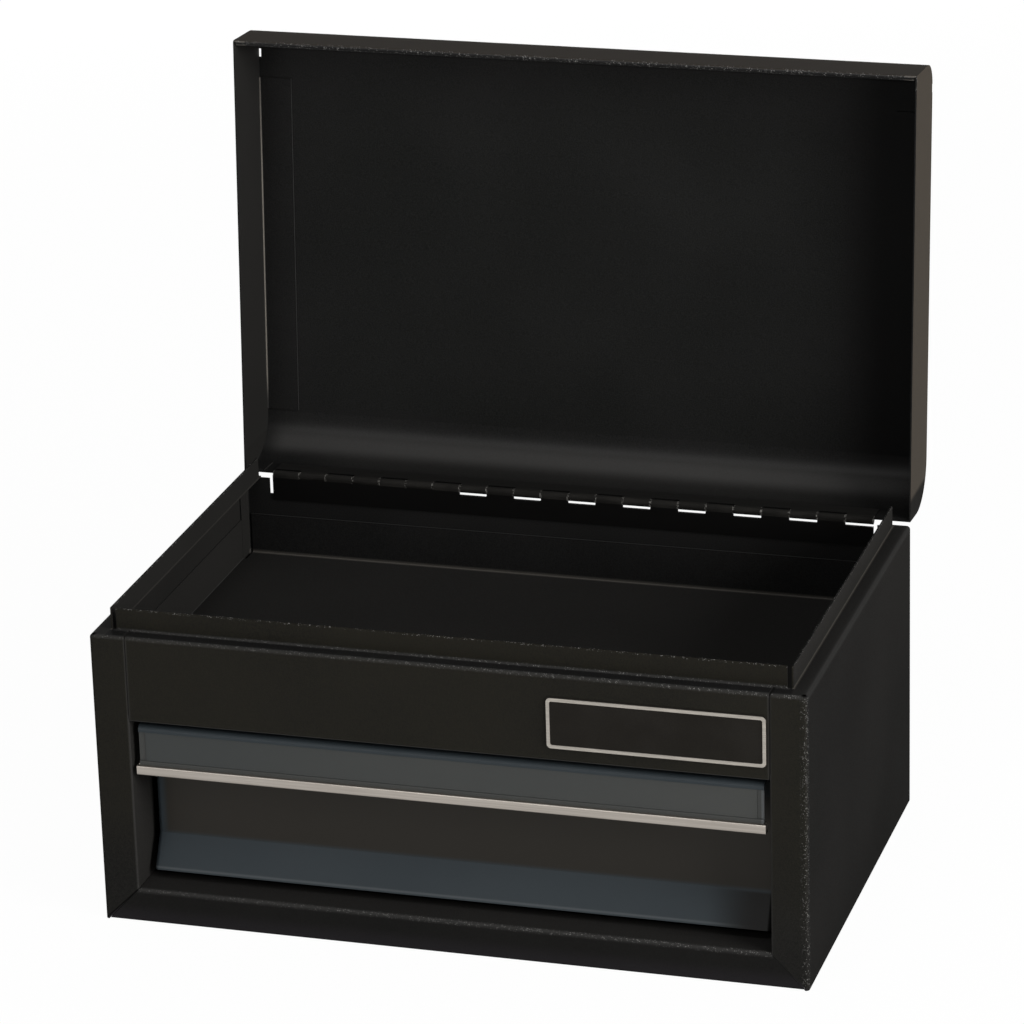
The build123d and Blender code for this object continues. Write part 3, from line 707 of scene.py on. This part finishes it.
        # Painted light on the walls, more inside and high at the rear outside, and on floor,
        # ledges and sill.
        far = lie.height.step(60 * MM, self.top) * lie.depth.step(-60 * MM, -self.front)
        far = far * (1 - lie.inner)
        walls = self.side_light + self.inner_light * lie.inner + self.far_light * far
        floor = lie.upward * lie.height.step(self.tray_floor + 6 * MM, self.tray_floor + 3 * MM)
        ledge = lie.upward * lie.height.band(self.top - MM, self.top + MM, 0.5 * MM)
        ledge = ledge * lie.across.step(self.rim_side, self.rim_side + MM)
        sill = lie.upward * lie.depth.step(self.lid_rear, self.lid_rear + 4 * MM)
        sill = sill * lie.height.band(self.top, self.lid_rear_bend, 2 * MM)
        sill = sill * lie.across.step(0.98 * self.half, 0.6 * self.half)
        light_faces = (lie.sideways * walls).most(floor * self.floor_light)
        light_faces = light_faces.most(ledge * self.ledge_light).most(sill * self.sill_light)
        return lie.shader.mix(light_faces * (0.7 + 0.3 * tone), colour, self.dust_and_light)

    def shade_lid(self, lie: Lie, tone: Signal, colour: Signal) -> Signal:
        """Paints light on the lid's outer ends, and painted shade over its inside towards the
        right.

        Args:
            lie: how the surface lies.
            tone: the texture.
            colour: the colour so far.

        Returns:
            The new colour.
        """
        # Painted light on the lid's outer ends.
        outer = lie.across.step(self.half - 0.5 * MM, self.half - 0.2 * MM)
        cap = lie.sideways * lie.lid * outer
        colour = lie.shader.mix(cap * (0.85 + 0.15 * tone), colour, self.cap)
        # Painted shade on the lid's inside towards the right.
        dim = lie.shader.facing(Axis.Y).step(*self.ahead) * lie.lid
        dim = dim * lie.depth.step(self.lid_hem_y, self.lid_hem_y + 10 * MM)
        dim = dim * lie.right.step(0.73 * self.half, 0.88 * self.half)
        return lie.shader.mix(dim * self.lid_dim, colour, self.gap_and_shade)

    def draw_lines(self, lie: Lie, grain: Signal, colour: Signal) -> Signal:
        """Paints highlights along folds, flanges and seams, the sheen on the lid's rear bend, and
        the brightest highlights on the crests.

        Args:
            lie: how the surface lies.
            grain: the finest grains.
            colour: the colour so far.

        Returns:
            The new colour.
        """
        tray = lie.height.band(self.tray_floor - 1.5 * MM, self.tray_floor + 2 * MM, MM)
        flange = lie.across.band(self.cap_flange - 0.5 * MM, self.cap_flange + 0.5 * MM, 0.4 * MM)
        seam = lie.height.band(self.flange_top - 0.5 * MM, self.flange_top + 0.3 * MM, 0.2 * MM)
        lines = (lie.bend * tray).most(flange * lie.lid * lie.sideways)
        lines = lines.most(lie.upward * seam * self.seam_share)
        # Painted sheen on the lid's rear bend and painted highlights along folds and seams.
        soft = self.bend_sheen(lie) * (0.65 + 0.5 * grain)
        soft = (self.fold_highlights(lie) * self.fold_share).most(soft)
        colour = lie.shader.mix(soft.most(lines), colour, self.fold_highlight)
        # Brightest painted highlights on the crests.
        return lie.shader.mix(self.crest_highlights(lie), colour, self.rubbed_and_highlight)

    def sheen(self, lie: Lie) -> Signal:
        """The clear film's weight, most on the lid's bends and ends.

        Args:
            lie: how the surface lies.

        Returns:
            The weight.
        """
        sheen = 0.04 + 0.07 * lie.upward * lie.lid + 0.28 * lie.bend * lie.lid
        ends = lie.sideways * lie.lid * (0.14 + 0.06 * lie.inner)
        return sheen * (1 - lie.sideways) + ends

    def paint(self, shader: Shader) -> bpy.types.Material:
        """Film, grains, painted highlights on folds, painted light on what faces sideways, a dull
        sheen.

        Args:
            shader: the material's empty tree.

        Returns:
            The material.
        """
        lie = self.lie(shader)
        grain = shader.noise(self.grain, 3.0)
        lump = shader.noise(self.lump, 2.0)
        cloud = shader.noise(self.cloud, 1.0).step(*self.cloud_span)
        tone = (cloud * 0.30 + grain.step(*self.grain_span) * 0.8).clamped()
        colour = shader.mix(tone, self.film, self.worn)
        colour = self.tint(lie, tone, colour)
        colour = self.light_faces(lie, tone, colour)
        colour = self.shade_lid(lie, tone, colour)
        colour = self.draw_lines(lie, grain, colour)
        # Painted glints on grains.
        glints = shader.grains(self.speck).step(*self.speck_span) * lump.step(*self.patch_span)
        glints = (glints * self.glint_places(lie) * self.glint_share).clamped()
        colour = shader.mix(glints, colour, self.painted_glint)
        return shader.surface(
            Base_Color=shader.mix(self.hole_shade_and_mitre(lie), colour, self.gap_and_shade),
            Roughness=0.62 - 0.14 * grain.step(*self.dry_span),
            Specular_IOR_Level=0.0,
            Coat_Weight=self.sheen(lie),
            Coat_Roughness=self.coat_roughness,
            Normal=shader.bump(grain * 0.6 + lump * 0.4, self.bump_depth, self.bump_share),
        )


@dataclass(frozen=True)
class SlatePaint(Finish):
    """Satin slate paint of the drawer, with painted shade making the set-back panel near black."""

    slot: Slot = Slot.SLATE_PAINT
    slate: Colour = (0.0215, 0.0275, 0.032)
    pale: Colour = (0.0275, 0.034, 0.0385)
    # Painted shade on the set-back panel, under the pull.
    panel: Colour = (0.0180, 0.0160, 0.0130)
    shadow: Colour = (0.0035, 0.0035, 0.0034)
    face: Colour = (0.043, 0.0445, 0.043)
    # Painted highlight on the lip's hem and the pull's end.
    edge_highlight: Colour = (0.092, 0.098, 0.102)
    lip_top: float = 44 * MM
    lip_bottom: float = 25.5 * MM
    panel_top: float = 113 * MM
    panel_face: float = -104 * MM
    panel_half: float = 175.7 * MM
    pull_face: float = -123.8 * MM
    face_top: float = 113.3 * MM
    lip_end: Span = (0.78, 0.95)
    peel: float = 2.2 * MM
    speck: float = 0.5 * MM
    cloud: float = 60 * MM
    bump_depth: float = 0.05 * MM
    pale_share: float = 0.5
    hem_share: float = 0.4
    end_share: float = 0.8

    def recess_shade_mask(self, shader: Shader) -> Signal:
        """Where painted shade darkens the set-back panel between the lip and the pull.

        Args:
            shader: the material's tree.

        Returns:
            A mask.
        """
        panel = shader.along(Axis.Z).band(self.lip_top + MM, self.panel_top, 3 * MM)
        panel = panel * shader.along(Axis.Y).step(self.panel_face - 1.2 * MM, self.panel_face)
        left = shader.along(Axis.X).step(3 * MM - self.panel_half, 7 * MM - self.panel_half)
        return panel * left

    def paint(self, shader: Shader) -> bpy.types.Material:
        """Slate, with painted shade on the set-back panel and the lip's right end, the pull's grey
        face, and painted highlights on the pull's end and the lip's hem.

        Args:
            shader: the material's empty tree.

        Returns:
            The material.
        """
        height = shader.along(Axis.Z)
        across = shader.along(Axis.X)
        pull = shader.along(Axis.Y).step(self.pull_face, self.pull_face - 0.3 * MM)
        pull = pull * height.step(self.face_top, self.face_top - 0.6 * MM)
        end = across.band(self.panel_half - 1.7 * MM, self.panel_half - 0.3 * MM, 0.6 * MM)
        lip = (1 - pull) * height.step(self.lip_top, self.lip_top - 6 * MM)
        hem = height.band(self.lip_bottom + 0.8 * MM, self.lip_bottom + 1.8 * MM, 0.8 * MM)
        shaded = height.step(self.lip_top + 0.5 * MM, self.lip_top - 1.5 * MM) * (1 - pull)
        near, far = self.lip_end
        shaded = shaded * across.step(near * self.panel_half, far * self.panel_half)
        cloud = shader.noise(self.cloud, 2.0).step(0.3, 0.7)
        peel = shader.noise(self.peel, 2.0)
        speck = shader.noise(self.speck, 2.0)
        colour = shader.mix(cloud * self.pale_share, self.slate, self.pale)
        # Painted highlight along the lip's hem.
        colour = shader.mix(lip * hem * self.hem_share, colour, self.edge_highlight)
        # Painted shade on the set-back panel.
        colour = shader.mix(self.recess_shade_mask(shader), colour, self.panel)
        colour = shader.mix(shaded, colour, self.shadow)
        colour = shader.mix(pull, colour, self.face)
        # Painted highlight at the pull's end.
        colour = shader.mix(end * pull * self.end_share, colour, self.edge_highlight)
        return shader.surface(
            Base_Color=colour,
            Roughness=0.38 + 0.10 * speck.step(0.35, 0.65) + 0.06 * cloud,
            Specular_IOR_Level=0.12,
            Normal=shader.bump(peel * 0.7 + speck * 0.3, self.bump_depth, 0.5),
        )


@dataclass(frozen=True)
class PanPaint(Finish):
    """Semi-gloss black paint inside the drawer."""

    slot: Slot = Slot.PAN_PAINT
    film: Colour = (0.014, 0.0142, 0.0145)
    dust_and_light: Colour = (0.024, 0.0235, 0.0225)
    cloud: float = 70 * MM
    peel: float = 1.4 * MM
    bump_depth: float = 0.06 * MM

    def paint(self, shader: Shader) -> bpy.types.Material:
        """Smooth film with slight orange peel.

        Args:
            shader: the material's empty tree.

        Returns:
            The material.
        """
        cloud = shader.noise(self.cloud, 3.0).step(0.35, 0.7)
        peel = shader.noise(self.peel, 2.0)
        return shader.surface(
            Base_Color=shader.mix(cloud * 0.6, self.film, self.dust_and_light),
            Roughness=0.42 + 0.12 * cloud,
            Specular_IOR_Level=0.2,
            Normal=shader.bump(peel, self.bump_depth, 0.5),
        )


@dataclass(frozen=True)
class HingeSteel(Finish):
    """Hinge steel painted over with the case, its knuckles rubbed bright at their ends."""

    slot: Slot = Slot.HINGE_STEEL
    film: Colour = (0.0034, 0.0033, 0.0032)
    # Painted light on the hinge's upward faces.
    leaf: Colour = (0.0095, 0.0092, 0.0087)
    barrel: Colour = (0.0150, 0.0142, 0.0130)
    bright: Colour = (0.30, 0.29, 0.27)
    left_end: float = -181.9 * MM
    pitch: float = 16.4 * MM
    axis_y: float = 128.7 * MM
    axis_z: float = 171.4 * MM
    radius: float = 2.3 * MM
    end_span: Span = (0.05, 0.012)
    rubbed_share: float = 0.55
    fleck: float = 1.3 * MM
    smear: float = 5 * MM
    peel: float = 0.9 * MM
    bump_depth: float = 0.05 * MM

    def paint(self, shader: Shader) -> bpy.types.Material:
        """Dark film, painted lighter where it faces up, lighter knuckles, and rubbed ends on them.

        Args:
            shader: the material's empty tree.

        Returns:
            The material.
        """
        off_y = shader.along(Axis.Y) - self.axis_y
        off_z = shader.along(Axis.Z) - self.axis_z
        reach = (off_y * off_y + off_z * off_z) ** 0.5
        knuckle = reach.step(self.radius + 0.5 * MM, self.radius + 0.2 * MM)
        along = (shader.along(Axis.X) - self.left_end) / self.pitch
        end = along.math("PINGPONG", along, 0.5).step(*self.end_span)
        fleck = shader.noise(self.fleck, 2.0).step(0.44, 0.62)
        rubbed_and_highlight = (end * fleck * knuckle).clamped()
        smear = shader.noise(self.smear, 2.0, (0.3, 1.0, 1.0)).step(0.35, 0.7)
        # Upward faces get painted light.
        lying = shader.facing(Axis.Z).step(0.6, 0.9)
        colour = shader.mix(lying, self.film, self.leaf)
        colour = shader.mix(knuckle * (0.5 + 0.5 * smear), colour, self.barrel)
        colour = shader.mix(rubbed_and_highlight * self.rubbed_share, colour, self.bright)
        return shader.surface(
            Base_Color=colour,
            Metallic=0.5 * rubbed_and_highlight,
            Roughness=0.5 - 0.14 * rubbed_and_highlight + 0.1 * smear,
            Specular_IOR_Level=0.02,
            Normal=shader.bump(shader.noise(self.peel, 2.0), self.bump_depth, 0.5),
        )


@dataclass(frozen=True)
class TrimAluminium(Finish):
    """Satin aluminium strip, drawn lengthwise."""

    slot: Slot = Slot.TRIM_ALUMINIUM
    metal: Colour = (0.37, 0.340, 0.305)
    shade: Colour = (0.28, 0.254, 0.226)
    line: float = 0.5 * MM
    smear: float = 30 * MM
    bump_depth: float = 0.04 * MM

    def paint(self, shader: Shader) -> bpy.types.Material:
        """Fine drawing lines along the strip.

        Args:
            shader: the material's empty tree.

        Returns:
            The material.
        """
        lines = shader.noise(self.line, 3.0, (0.012, 1.0, 1.0))
        smear = shader.noise(self.smear, 2.0, (0.5, 1.0, 1.0)).step(0.3, 0.7)
        tone = lines.step(0.35, 0.65) * 0.6 + smear * 0.3
        return shader.surface(
            Base_Color=shader.mix(tone, self.metal, self.shade),
            Metallic=1.0,
            Roughness=0.34 + 0.12 * lines,
            Normal=shader.bump(lines, self.bump_depth, 0.5),
        )


@dataclass(frozen=True)
class LabelStrip(Finish):
    """Smooth grey card behind a clear strip, left blank."""

    slot: Slot = Slot.LABEL_STRIP
    card: Colour = (0.048, 0.049, 0.0465)
    shade: Colour = (0.0345, 0.0380, 0.0382)
    half: float = 171.8 * MM
    ripple: float = 40 * MM
    fibre: float = 0.7 * MM
    bump_depth: float = 0.08 * MM

    def paint(self, shader: Shader) -> bpy.types.Material:
        """Card with a slight long ripple, and painted shade making it a little darker towards the
        left.

        Args:
            shader: the material's empty tree.

        Returns:
            The material.
        """
        ripple = shader.noise(self.ripple, 2.0, (0.35, 1.0, 1.0))
        fibre = shader.noise(self.fibre, 3.0, (0.2, 1.0, 1.0))
        # Painted shade, darker towards the left.
        dim = shader.along(Axis.X).step(self.half * 0.4, -self.half)
        card = shader.mix(ripple.step(0.3, 0.7) * 0.4 + fibre * 0.3, self.card, self.shade)
        return shader.surface(
            Base_Color=shader.mix(dim * 0.8, card, self.shade),
            Roughness=0.42 + 0.08 * fibre,
            Specular_IOR_Level=0.12,
            Normal=shader.bump(ripple * 0.8 + fibre * 0.2, self.bump_depth, 0.4),
        )


@dataclass(frozen=True)
class PlateField(Finish):
    """Dark, finely blasted field of the blank name plate."""

    slot: Slot = Slot.PLATE_FIELD
    field_colour: Colour = (0.0090, 0.0080, 0.0065)
    worn: Colour = (0.018, 0.0165, 0.0145)
    grit: float = 0.35 * MM
    cloud: float = 25 * MM
    bump_depth: float = 0.08 * MM

    def paint(self, shader: Shader) -> bpy.types.Material:
        """Blasted dark metal.

        Args:
            shader: the material's empty tree.

        Returns:
            The material.
        """
        grit = shader.noise(self.grit, 3.0)
        cloud = shader.noise(self.cloud, 2.0).step(0.3, 0.7)
        tone = grit.step(0.4, 0.7) * 0.5 + cloud * 0.3
        return shader.surface(
            Base_Color=shader.mix(tone, self.field_colour, self.worn),
            Roughness=0.5 + 0.12 * grit,
            Specular_IOR_Level=0.04,
            Normal=shader.bump(grit, self.bump_depth, 0.5),
        )


@dataclass(frozen=True)
class PlateBorder(Finish):
    """Pale satin metal of the plate's raised border."""

    slot: Slot = Slot.PLATE_BORDER
    metal: Colour = (0.345, 0.318, 0.282)
    shade: Colour = (0.27, 0.25, 0.222)
    line: float = 0.6 * MM
    bump_depth: float = 0.03 * MM

    def paint(self, shader: Shader) -> bpy.types.Material:
        """Satin metal with faint lines.

        Args:
            shader: the material's empty tree.

        Returns:
            The material.
        """
        lines = shader.noise(self.line, 3.0, (0.05, 1.0, 1.0))
        return shader.surface(
            Base_Color=shader.mix(lines.step(0.35, 0.65), self.metal, self.shade),
            Metallic=0.35,
            Roughness=0.42 + 0.12 * lines,
            Normal=shader.bump(lines, self.bump_depth, 0.5),
        )


@dataclass(frozen=True)
class ZincSteel(Finish):
    """Bright zinc plate on the slides, with its faint crystal cloud."""

    slot: Slot = Slot.ZINC_STEEL
    metal: Colour = (0.56, 0.57, 0.58)
    shade: Colour = (0.42, 0.43, 0.45)
    cloud: float = 6 * MM
    line: float = 0.6 * MM
    bump_depth: float = 0.03 * MM

    def paint(self, shader: Shader) -> bpy.types.Material:
        """Zinc with rolled lines.

        Args:
            shader: the material's empty tree.

        Returns:
            The material.
        """
        cloud = shader.noise(self.cloud, 3.0).step(0.35, 0.7)
        lines = shader.noise(self.line, 2.0, (1.0, 0.02, 1.0))
        return shader.surface(
            Base_Color=shader.mix(cloud * 0.7, self.metal, self.shade),
            Metallic=1.0,
            Roughness=0.28 + 0.14 * cloud + 0.08 * lines,
            Normal=shader.bump(lines, self.bump_depth, 0.5),
        )


@dataclass(frozen=True)
class BallSteel(Finish):
    """Ground and polished ball steel."""

    slot: Slot = Slot.BALL_STEEL
    metal: Colour = (0.62, 0.62, 0.63)
    greasy: Colour = (0.45, 0.42, 0.36)
    smear: float = 1.2 * MM

    def paint(self, shader: Shader) -> bpy.types.Material:
        """Polished steel with a trace of grease.

        Args:
            shader: the material's empty tree.

        Returns:
            The material.
        """
        grease = shader.noise(self.smear, 2.0).step(0.4, 0.65)
        return shader.surface(
            Base_Color=shader.mix(grease * 0.5, self.metal, self.greasy),
            Metallic=1.0,
            Roughness=0.12 + 0.14 * grease,
        )


@dataclass(frozen=True)
class RivetSteel(Finish):
    """Zinc-plated rivets, dulled where the set struck them."""

    slot: Slot = Slot.RIVET_STEEL
    metal: Colour = (0.50, 0.50, 0.51)
    dull: Colour = (0.36, 0.36, 0.37)
    dent: float = 0.9 * MM
    bump_depth: float = 0.1 * MM

    def paint(self, shader: Shader) -> bpy.types.Material:
        """Plated steel with small dents.

        Args:
            shader: the material's empty tree.

        Returns:
            The material.
        """
        dent = shader.noise(self.dent, 2.0)
        return shader.surface(
            Base_Color=shader.mix(dent.step(0.35, 0.65), self.metal, self.dull),
            Metallic=1.0,
            Roughness=0.3 + 0.2 * dent,
            Normal=shader.bump(dent, self.bump_depth, 0.6),
        )


# ----------------------------------------------------------------------- sub-assemblies
@dataclass
class Assembly(ABC):
    """Some pieces of the chest that are dressed together. The CAD has all their shapes."""

    nodes: dict[str, bpy.types.Object]

    @abstractmethod
    def build(self) -> list[str]:
        """Dresses the pieces.

        Returns:
            Their names.
        """

    def dress(self, finish: Finish, *names: str) -> list[str]:
        """Gives CAD nodes a finish.

        Args:
            finish: the finish.
            *names: the nodes.

        Returns:
            The nodes' names.
        """
        for name in names:
            finish.dress(self.nodes[name])
        return list(names)


@dataclass
class Case(Assembly):
    """The cabinet's sheets."""

    sides: tuple[str, ...] = ("left_side_panel", "right_side_panel")
    fronts: tuple[str, ...] = ("header_panel", "bottom_panel")
    inner: tuple[str, ...] = ("back_panel", "tray_pan")

    def build(self) -> list[str]:
        """Dresses the panels and the tray."""
        return self.dress(PowderCoat(), *self.sides, *self.fronts, *self.inner)


@dataclass
class NamePlate(Assembly):
    """The blank name plate and its raised border."""

    def build(self) -> list[str]:
        """Dresses the plate and the border."""
        names = self.dress(PlateField(), "badge_plate")
        return names + self.dress(PlateBorder(), "badge_border")


@dataclass
class PianoHinge(Assembly):
    """The hinge's leaves and pin."""

    def build(self) -> list[str]:
        """Dresses the leaves and the pin."""
        return self.dress(HingeSteel(), "hinge_body_leaf", "hinge_lid_leaf", "hinge_pin")


@dataclass
class Lid(Assembly):
    """The lid's shell and end caps."""

    def build(self) -> list[str]:
        """Dresses the shell and its ends."""
        return self.dress(PowderCoat(), "lid_shell", "lid_left_end", "lid_right_end")


@dataclass
class Drawer(Assembly):
    """The drawer's front, pull, label, trim and pan."""

    def build(self) -> list[str]:
        """Dresses the drawer.

        Returns:
            The pieces' names.
        """
        names = self.dress(SlatePaint(), "drawer_front", "drawer_pull")
        names += self.dress(LabelStrip(), "pull_label")
        names += self.dress(TrimAluminium(), "pull_trim")
        return names + self.dress(PanPaint(), "drawer_pan")


@dataclass
class BallSlides(Assembly):
    """Both slides with their brackets, cages, balls and rivets."""

    members: tuple[str, ...] = ("slide_outer", "slide_inner", "ball_cage")

    def build(self) -> list[str]:
        """Dresses the slides.

        Returns:
            The pieces' names.
        """
        names = self.dress(PowderCoat(), "left_slide_bracket", "right_slide_bracket")
        for side in ("left", "right"):
            names += self.dress(ZincSteel(), *(f"{side}_{member}" for member in self.members))
            names += self.dress(BallSteel(), f"{side}_balls")
        return names + self.dress(RivetSteel(), "slide_bracket_rivets", "drawer_rivets")


# ------------------------------------------------------------------------------ studio
@dataclass(frozen=True)
class Lamp:
    """A soft area lamp that looks at the chest."""

    name: str
    place: Point
    size: tuple[float, float]
    power: float
    colour: Colour = (1.0, 1.0, 1.0)
    target: Point = (0.0, 0.0, 0.2)

    def hang(self) -> None:
        """Adds the lamp to the scene."""
        data = bpy.data.lights.new(self.name, "AREA")
        data.shape = "RECTANGLE"
        data.size, data.size_y = self.size
        data.energy = self.power
        data.color = self.colour
        lamp = bpy.data.objects.new(self.name, data)
        lamp.location = self.place
        aim = Vector(self.target) - Vector(self.place)
        lamp.rotation_mode = "QUATERNION"
        lamp.rotation_quaternion = aim.to_track_quat("-Z", "Y")
        bpy.context.scene.collection.objects.link(lamp)


@dataclass(frozen=True)
class Studio:
    """Pale floor, white surroundings and soft lamps."""

    white: Colour = (1.0, 1.0, 1.0)
    fill: float = 0.22
    floor_half: float = 4.0
    floor_drop: float = 0.2 * MM
    floor_glow: float = 0.97
    floor_colour: Colour = (0.92, 0.92, 0.92)
    lamps: tuple[Lamp, ...] = (
        Lamp("right_lamp", (2.3, -1.0, 1.05), (1.2, 1.2), 68.0, (1.0, 0.995, 0.985)),
        Lamp("front_lamp", (-0.6, -2.8, 0.55), (1.8, 1.0), 21.0, (1.0, 0.985, 0.96)),
        Lamp("top_lamp", (0.1, -0.9, 2.4), (1.2, 1.0), 14.0),
        Lamp("rear_lamp", (-0.9, 2.6, 0.2), (2.2, 0.3), 60.0),
    )

    def build(self) -> None:
        """Sets the world, the floor and the lamps."""
        self.make_world()
        self.make_floor()
        for lamp in self.lamps:
            lamp.hang()
        bpy.context.scene.view_settings.view_transform = "Standard"

    def make_world(self) -> None:
        """White where it is seen, and a softer fill for the rest."""
        world = bpy.data.worlds.new("surroundings")
        bpy.context.scene.world = world
        shader = Shader(world)
        light, white = (
            shader.node("ShaderNodeBackground", {}, {"Color": self.white, "Strength": strength})
            for strength in (self.fill, 1.0)
        )
        mixed = shader.node("ShaderNodeMixShader", {}, {0: self.seen(shader), 1: light, 2: white})
        shader.node("ShaderNodeOutputWorld", {}, {"Surface": mixed})

    @staticmethod
    def seen(shader: Shader) -> Signal:
        """Tells the rays that show the background, straight or in gloss or glass.

        Args:
            shader: the tree of the world or the floor.

        Returns:
            1 for such rays.
        """
        camera = shader.node("ShaderNodeLightPath", result="Is Camera Ray")
        glossy = shader.node("ShaderNodeLightPath", result="Is Glossy Ray")
        through = shader.node("ShaderNodeLightPath", result="Is Transmission Ray")
        return (camera + glossy + through).clamped()

    def make_floor(self) -> None:
        """A flat floor that shows nearly white and keeps the shadow, open from below."""
        half = self.floor_half
        mesh = bpy.data.meshes.new("floor")
        corners = [(-half, -half, 0.0), (half, -half, 0.0), (half, half, 0.0), (-half, half, 0.0)]
        mesh.from_pydata(corners, [], [(0, 1, 2, 3)])
        floor = bpy.data.objects.new("floor", mesh)
        bpy.context.scene.collection.objects.link(floor)
        floor.location.z = -self.floor_drop
        shader = Shader(bpy.data.materials.new("floor"))
        matt = shader.node("ShaderNodeBsdfDiffuse", {}, {"Color": self.floor_colour})
        glow = shader.node("ShaderNodeEmission", {}, {"Color": self.white, "Strength": 1.0})
        share = self.seen(shader) * self.floor_glow
        shown = shader.node("ShaderNodeMixShader", {}, {0: share, 1: matt, 2: glow})
        below = shader.node("ShaderNodeNewGeometry", result="Backfacing")
        clear = shader.node("ShaderNodeBsdfTransparent")
        shown = shader.node("ShaderNodeMixShader", {}, {0: below, 1: shown, 2: clear})
        shader.node("ShaderNodeOutputMaterial", {}, {"Surface": shown})
        mesh.materials.append(shader.owner)


@dataclass(frozen=True)
class Viewpoint:
    """The camera, where the photograph was taken from."""

    place: Point = (0.74581, -2.43377, 1.16969)
    right: Point = (0.95903786, 0.28199198, -0.02696103)
    down: Point = (0.07538395, -0.34579733, -0.93527614)
    ahead: Point = (-0.27306342, 0.89493281, -0.3528904)
    lens: float = 173.156
    sensor: float = 36.0
    nearest: float = 0.05

    def build(self) -> None:
        """Adds the camera and makes it the scene's."""
        data = bpy.data.cameras.new("camera")
        data.lens = self.lens
        data.sensor_width = self.sensor
        data.clip_start = self.nearest
        camera = bpy.data.objects.new("camera", data)
        columns = (Vector(self.right), -Vector(self.down), -Vector(self.ahead))
        turn = Matrix(columns).transposed().to_4x4()
        camera.matrix_world = Matrix.Translation(self.place) @ turn
        bpy.context.scene.collection.objects.link(camera)
        bpy.context.scene.camera = camera


def main() -> None:
    """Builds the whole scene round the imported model."""
    logging.basicConfig(level=logging.INFO, format="%(message)s")
    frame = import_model()
    Viewpoint().build()
    for kind in (Case, NamePlate, PianoHinge, Lid, Drawer, BallSlides):
        for piece in kind(frame["nodes"]).build():
            LOG.info("%s: %s", kind.__name__, piece)
    Studio().build()


if __name__ == "__main__":
    main()
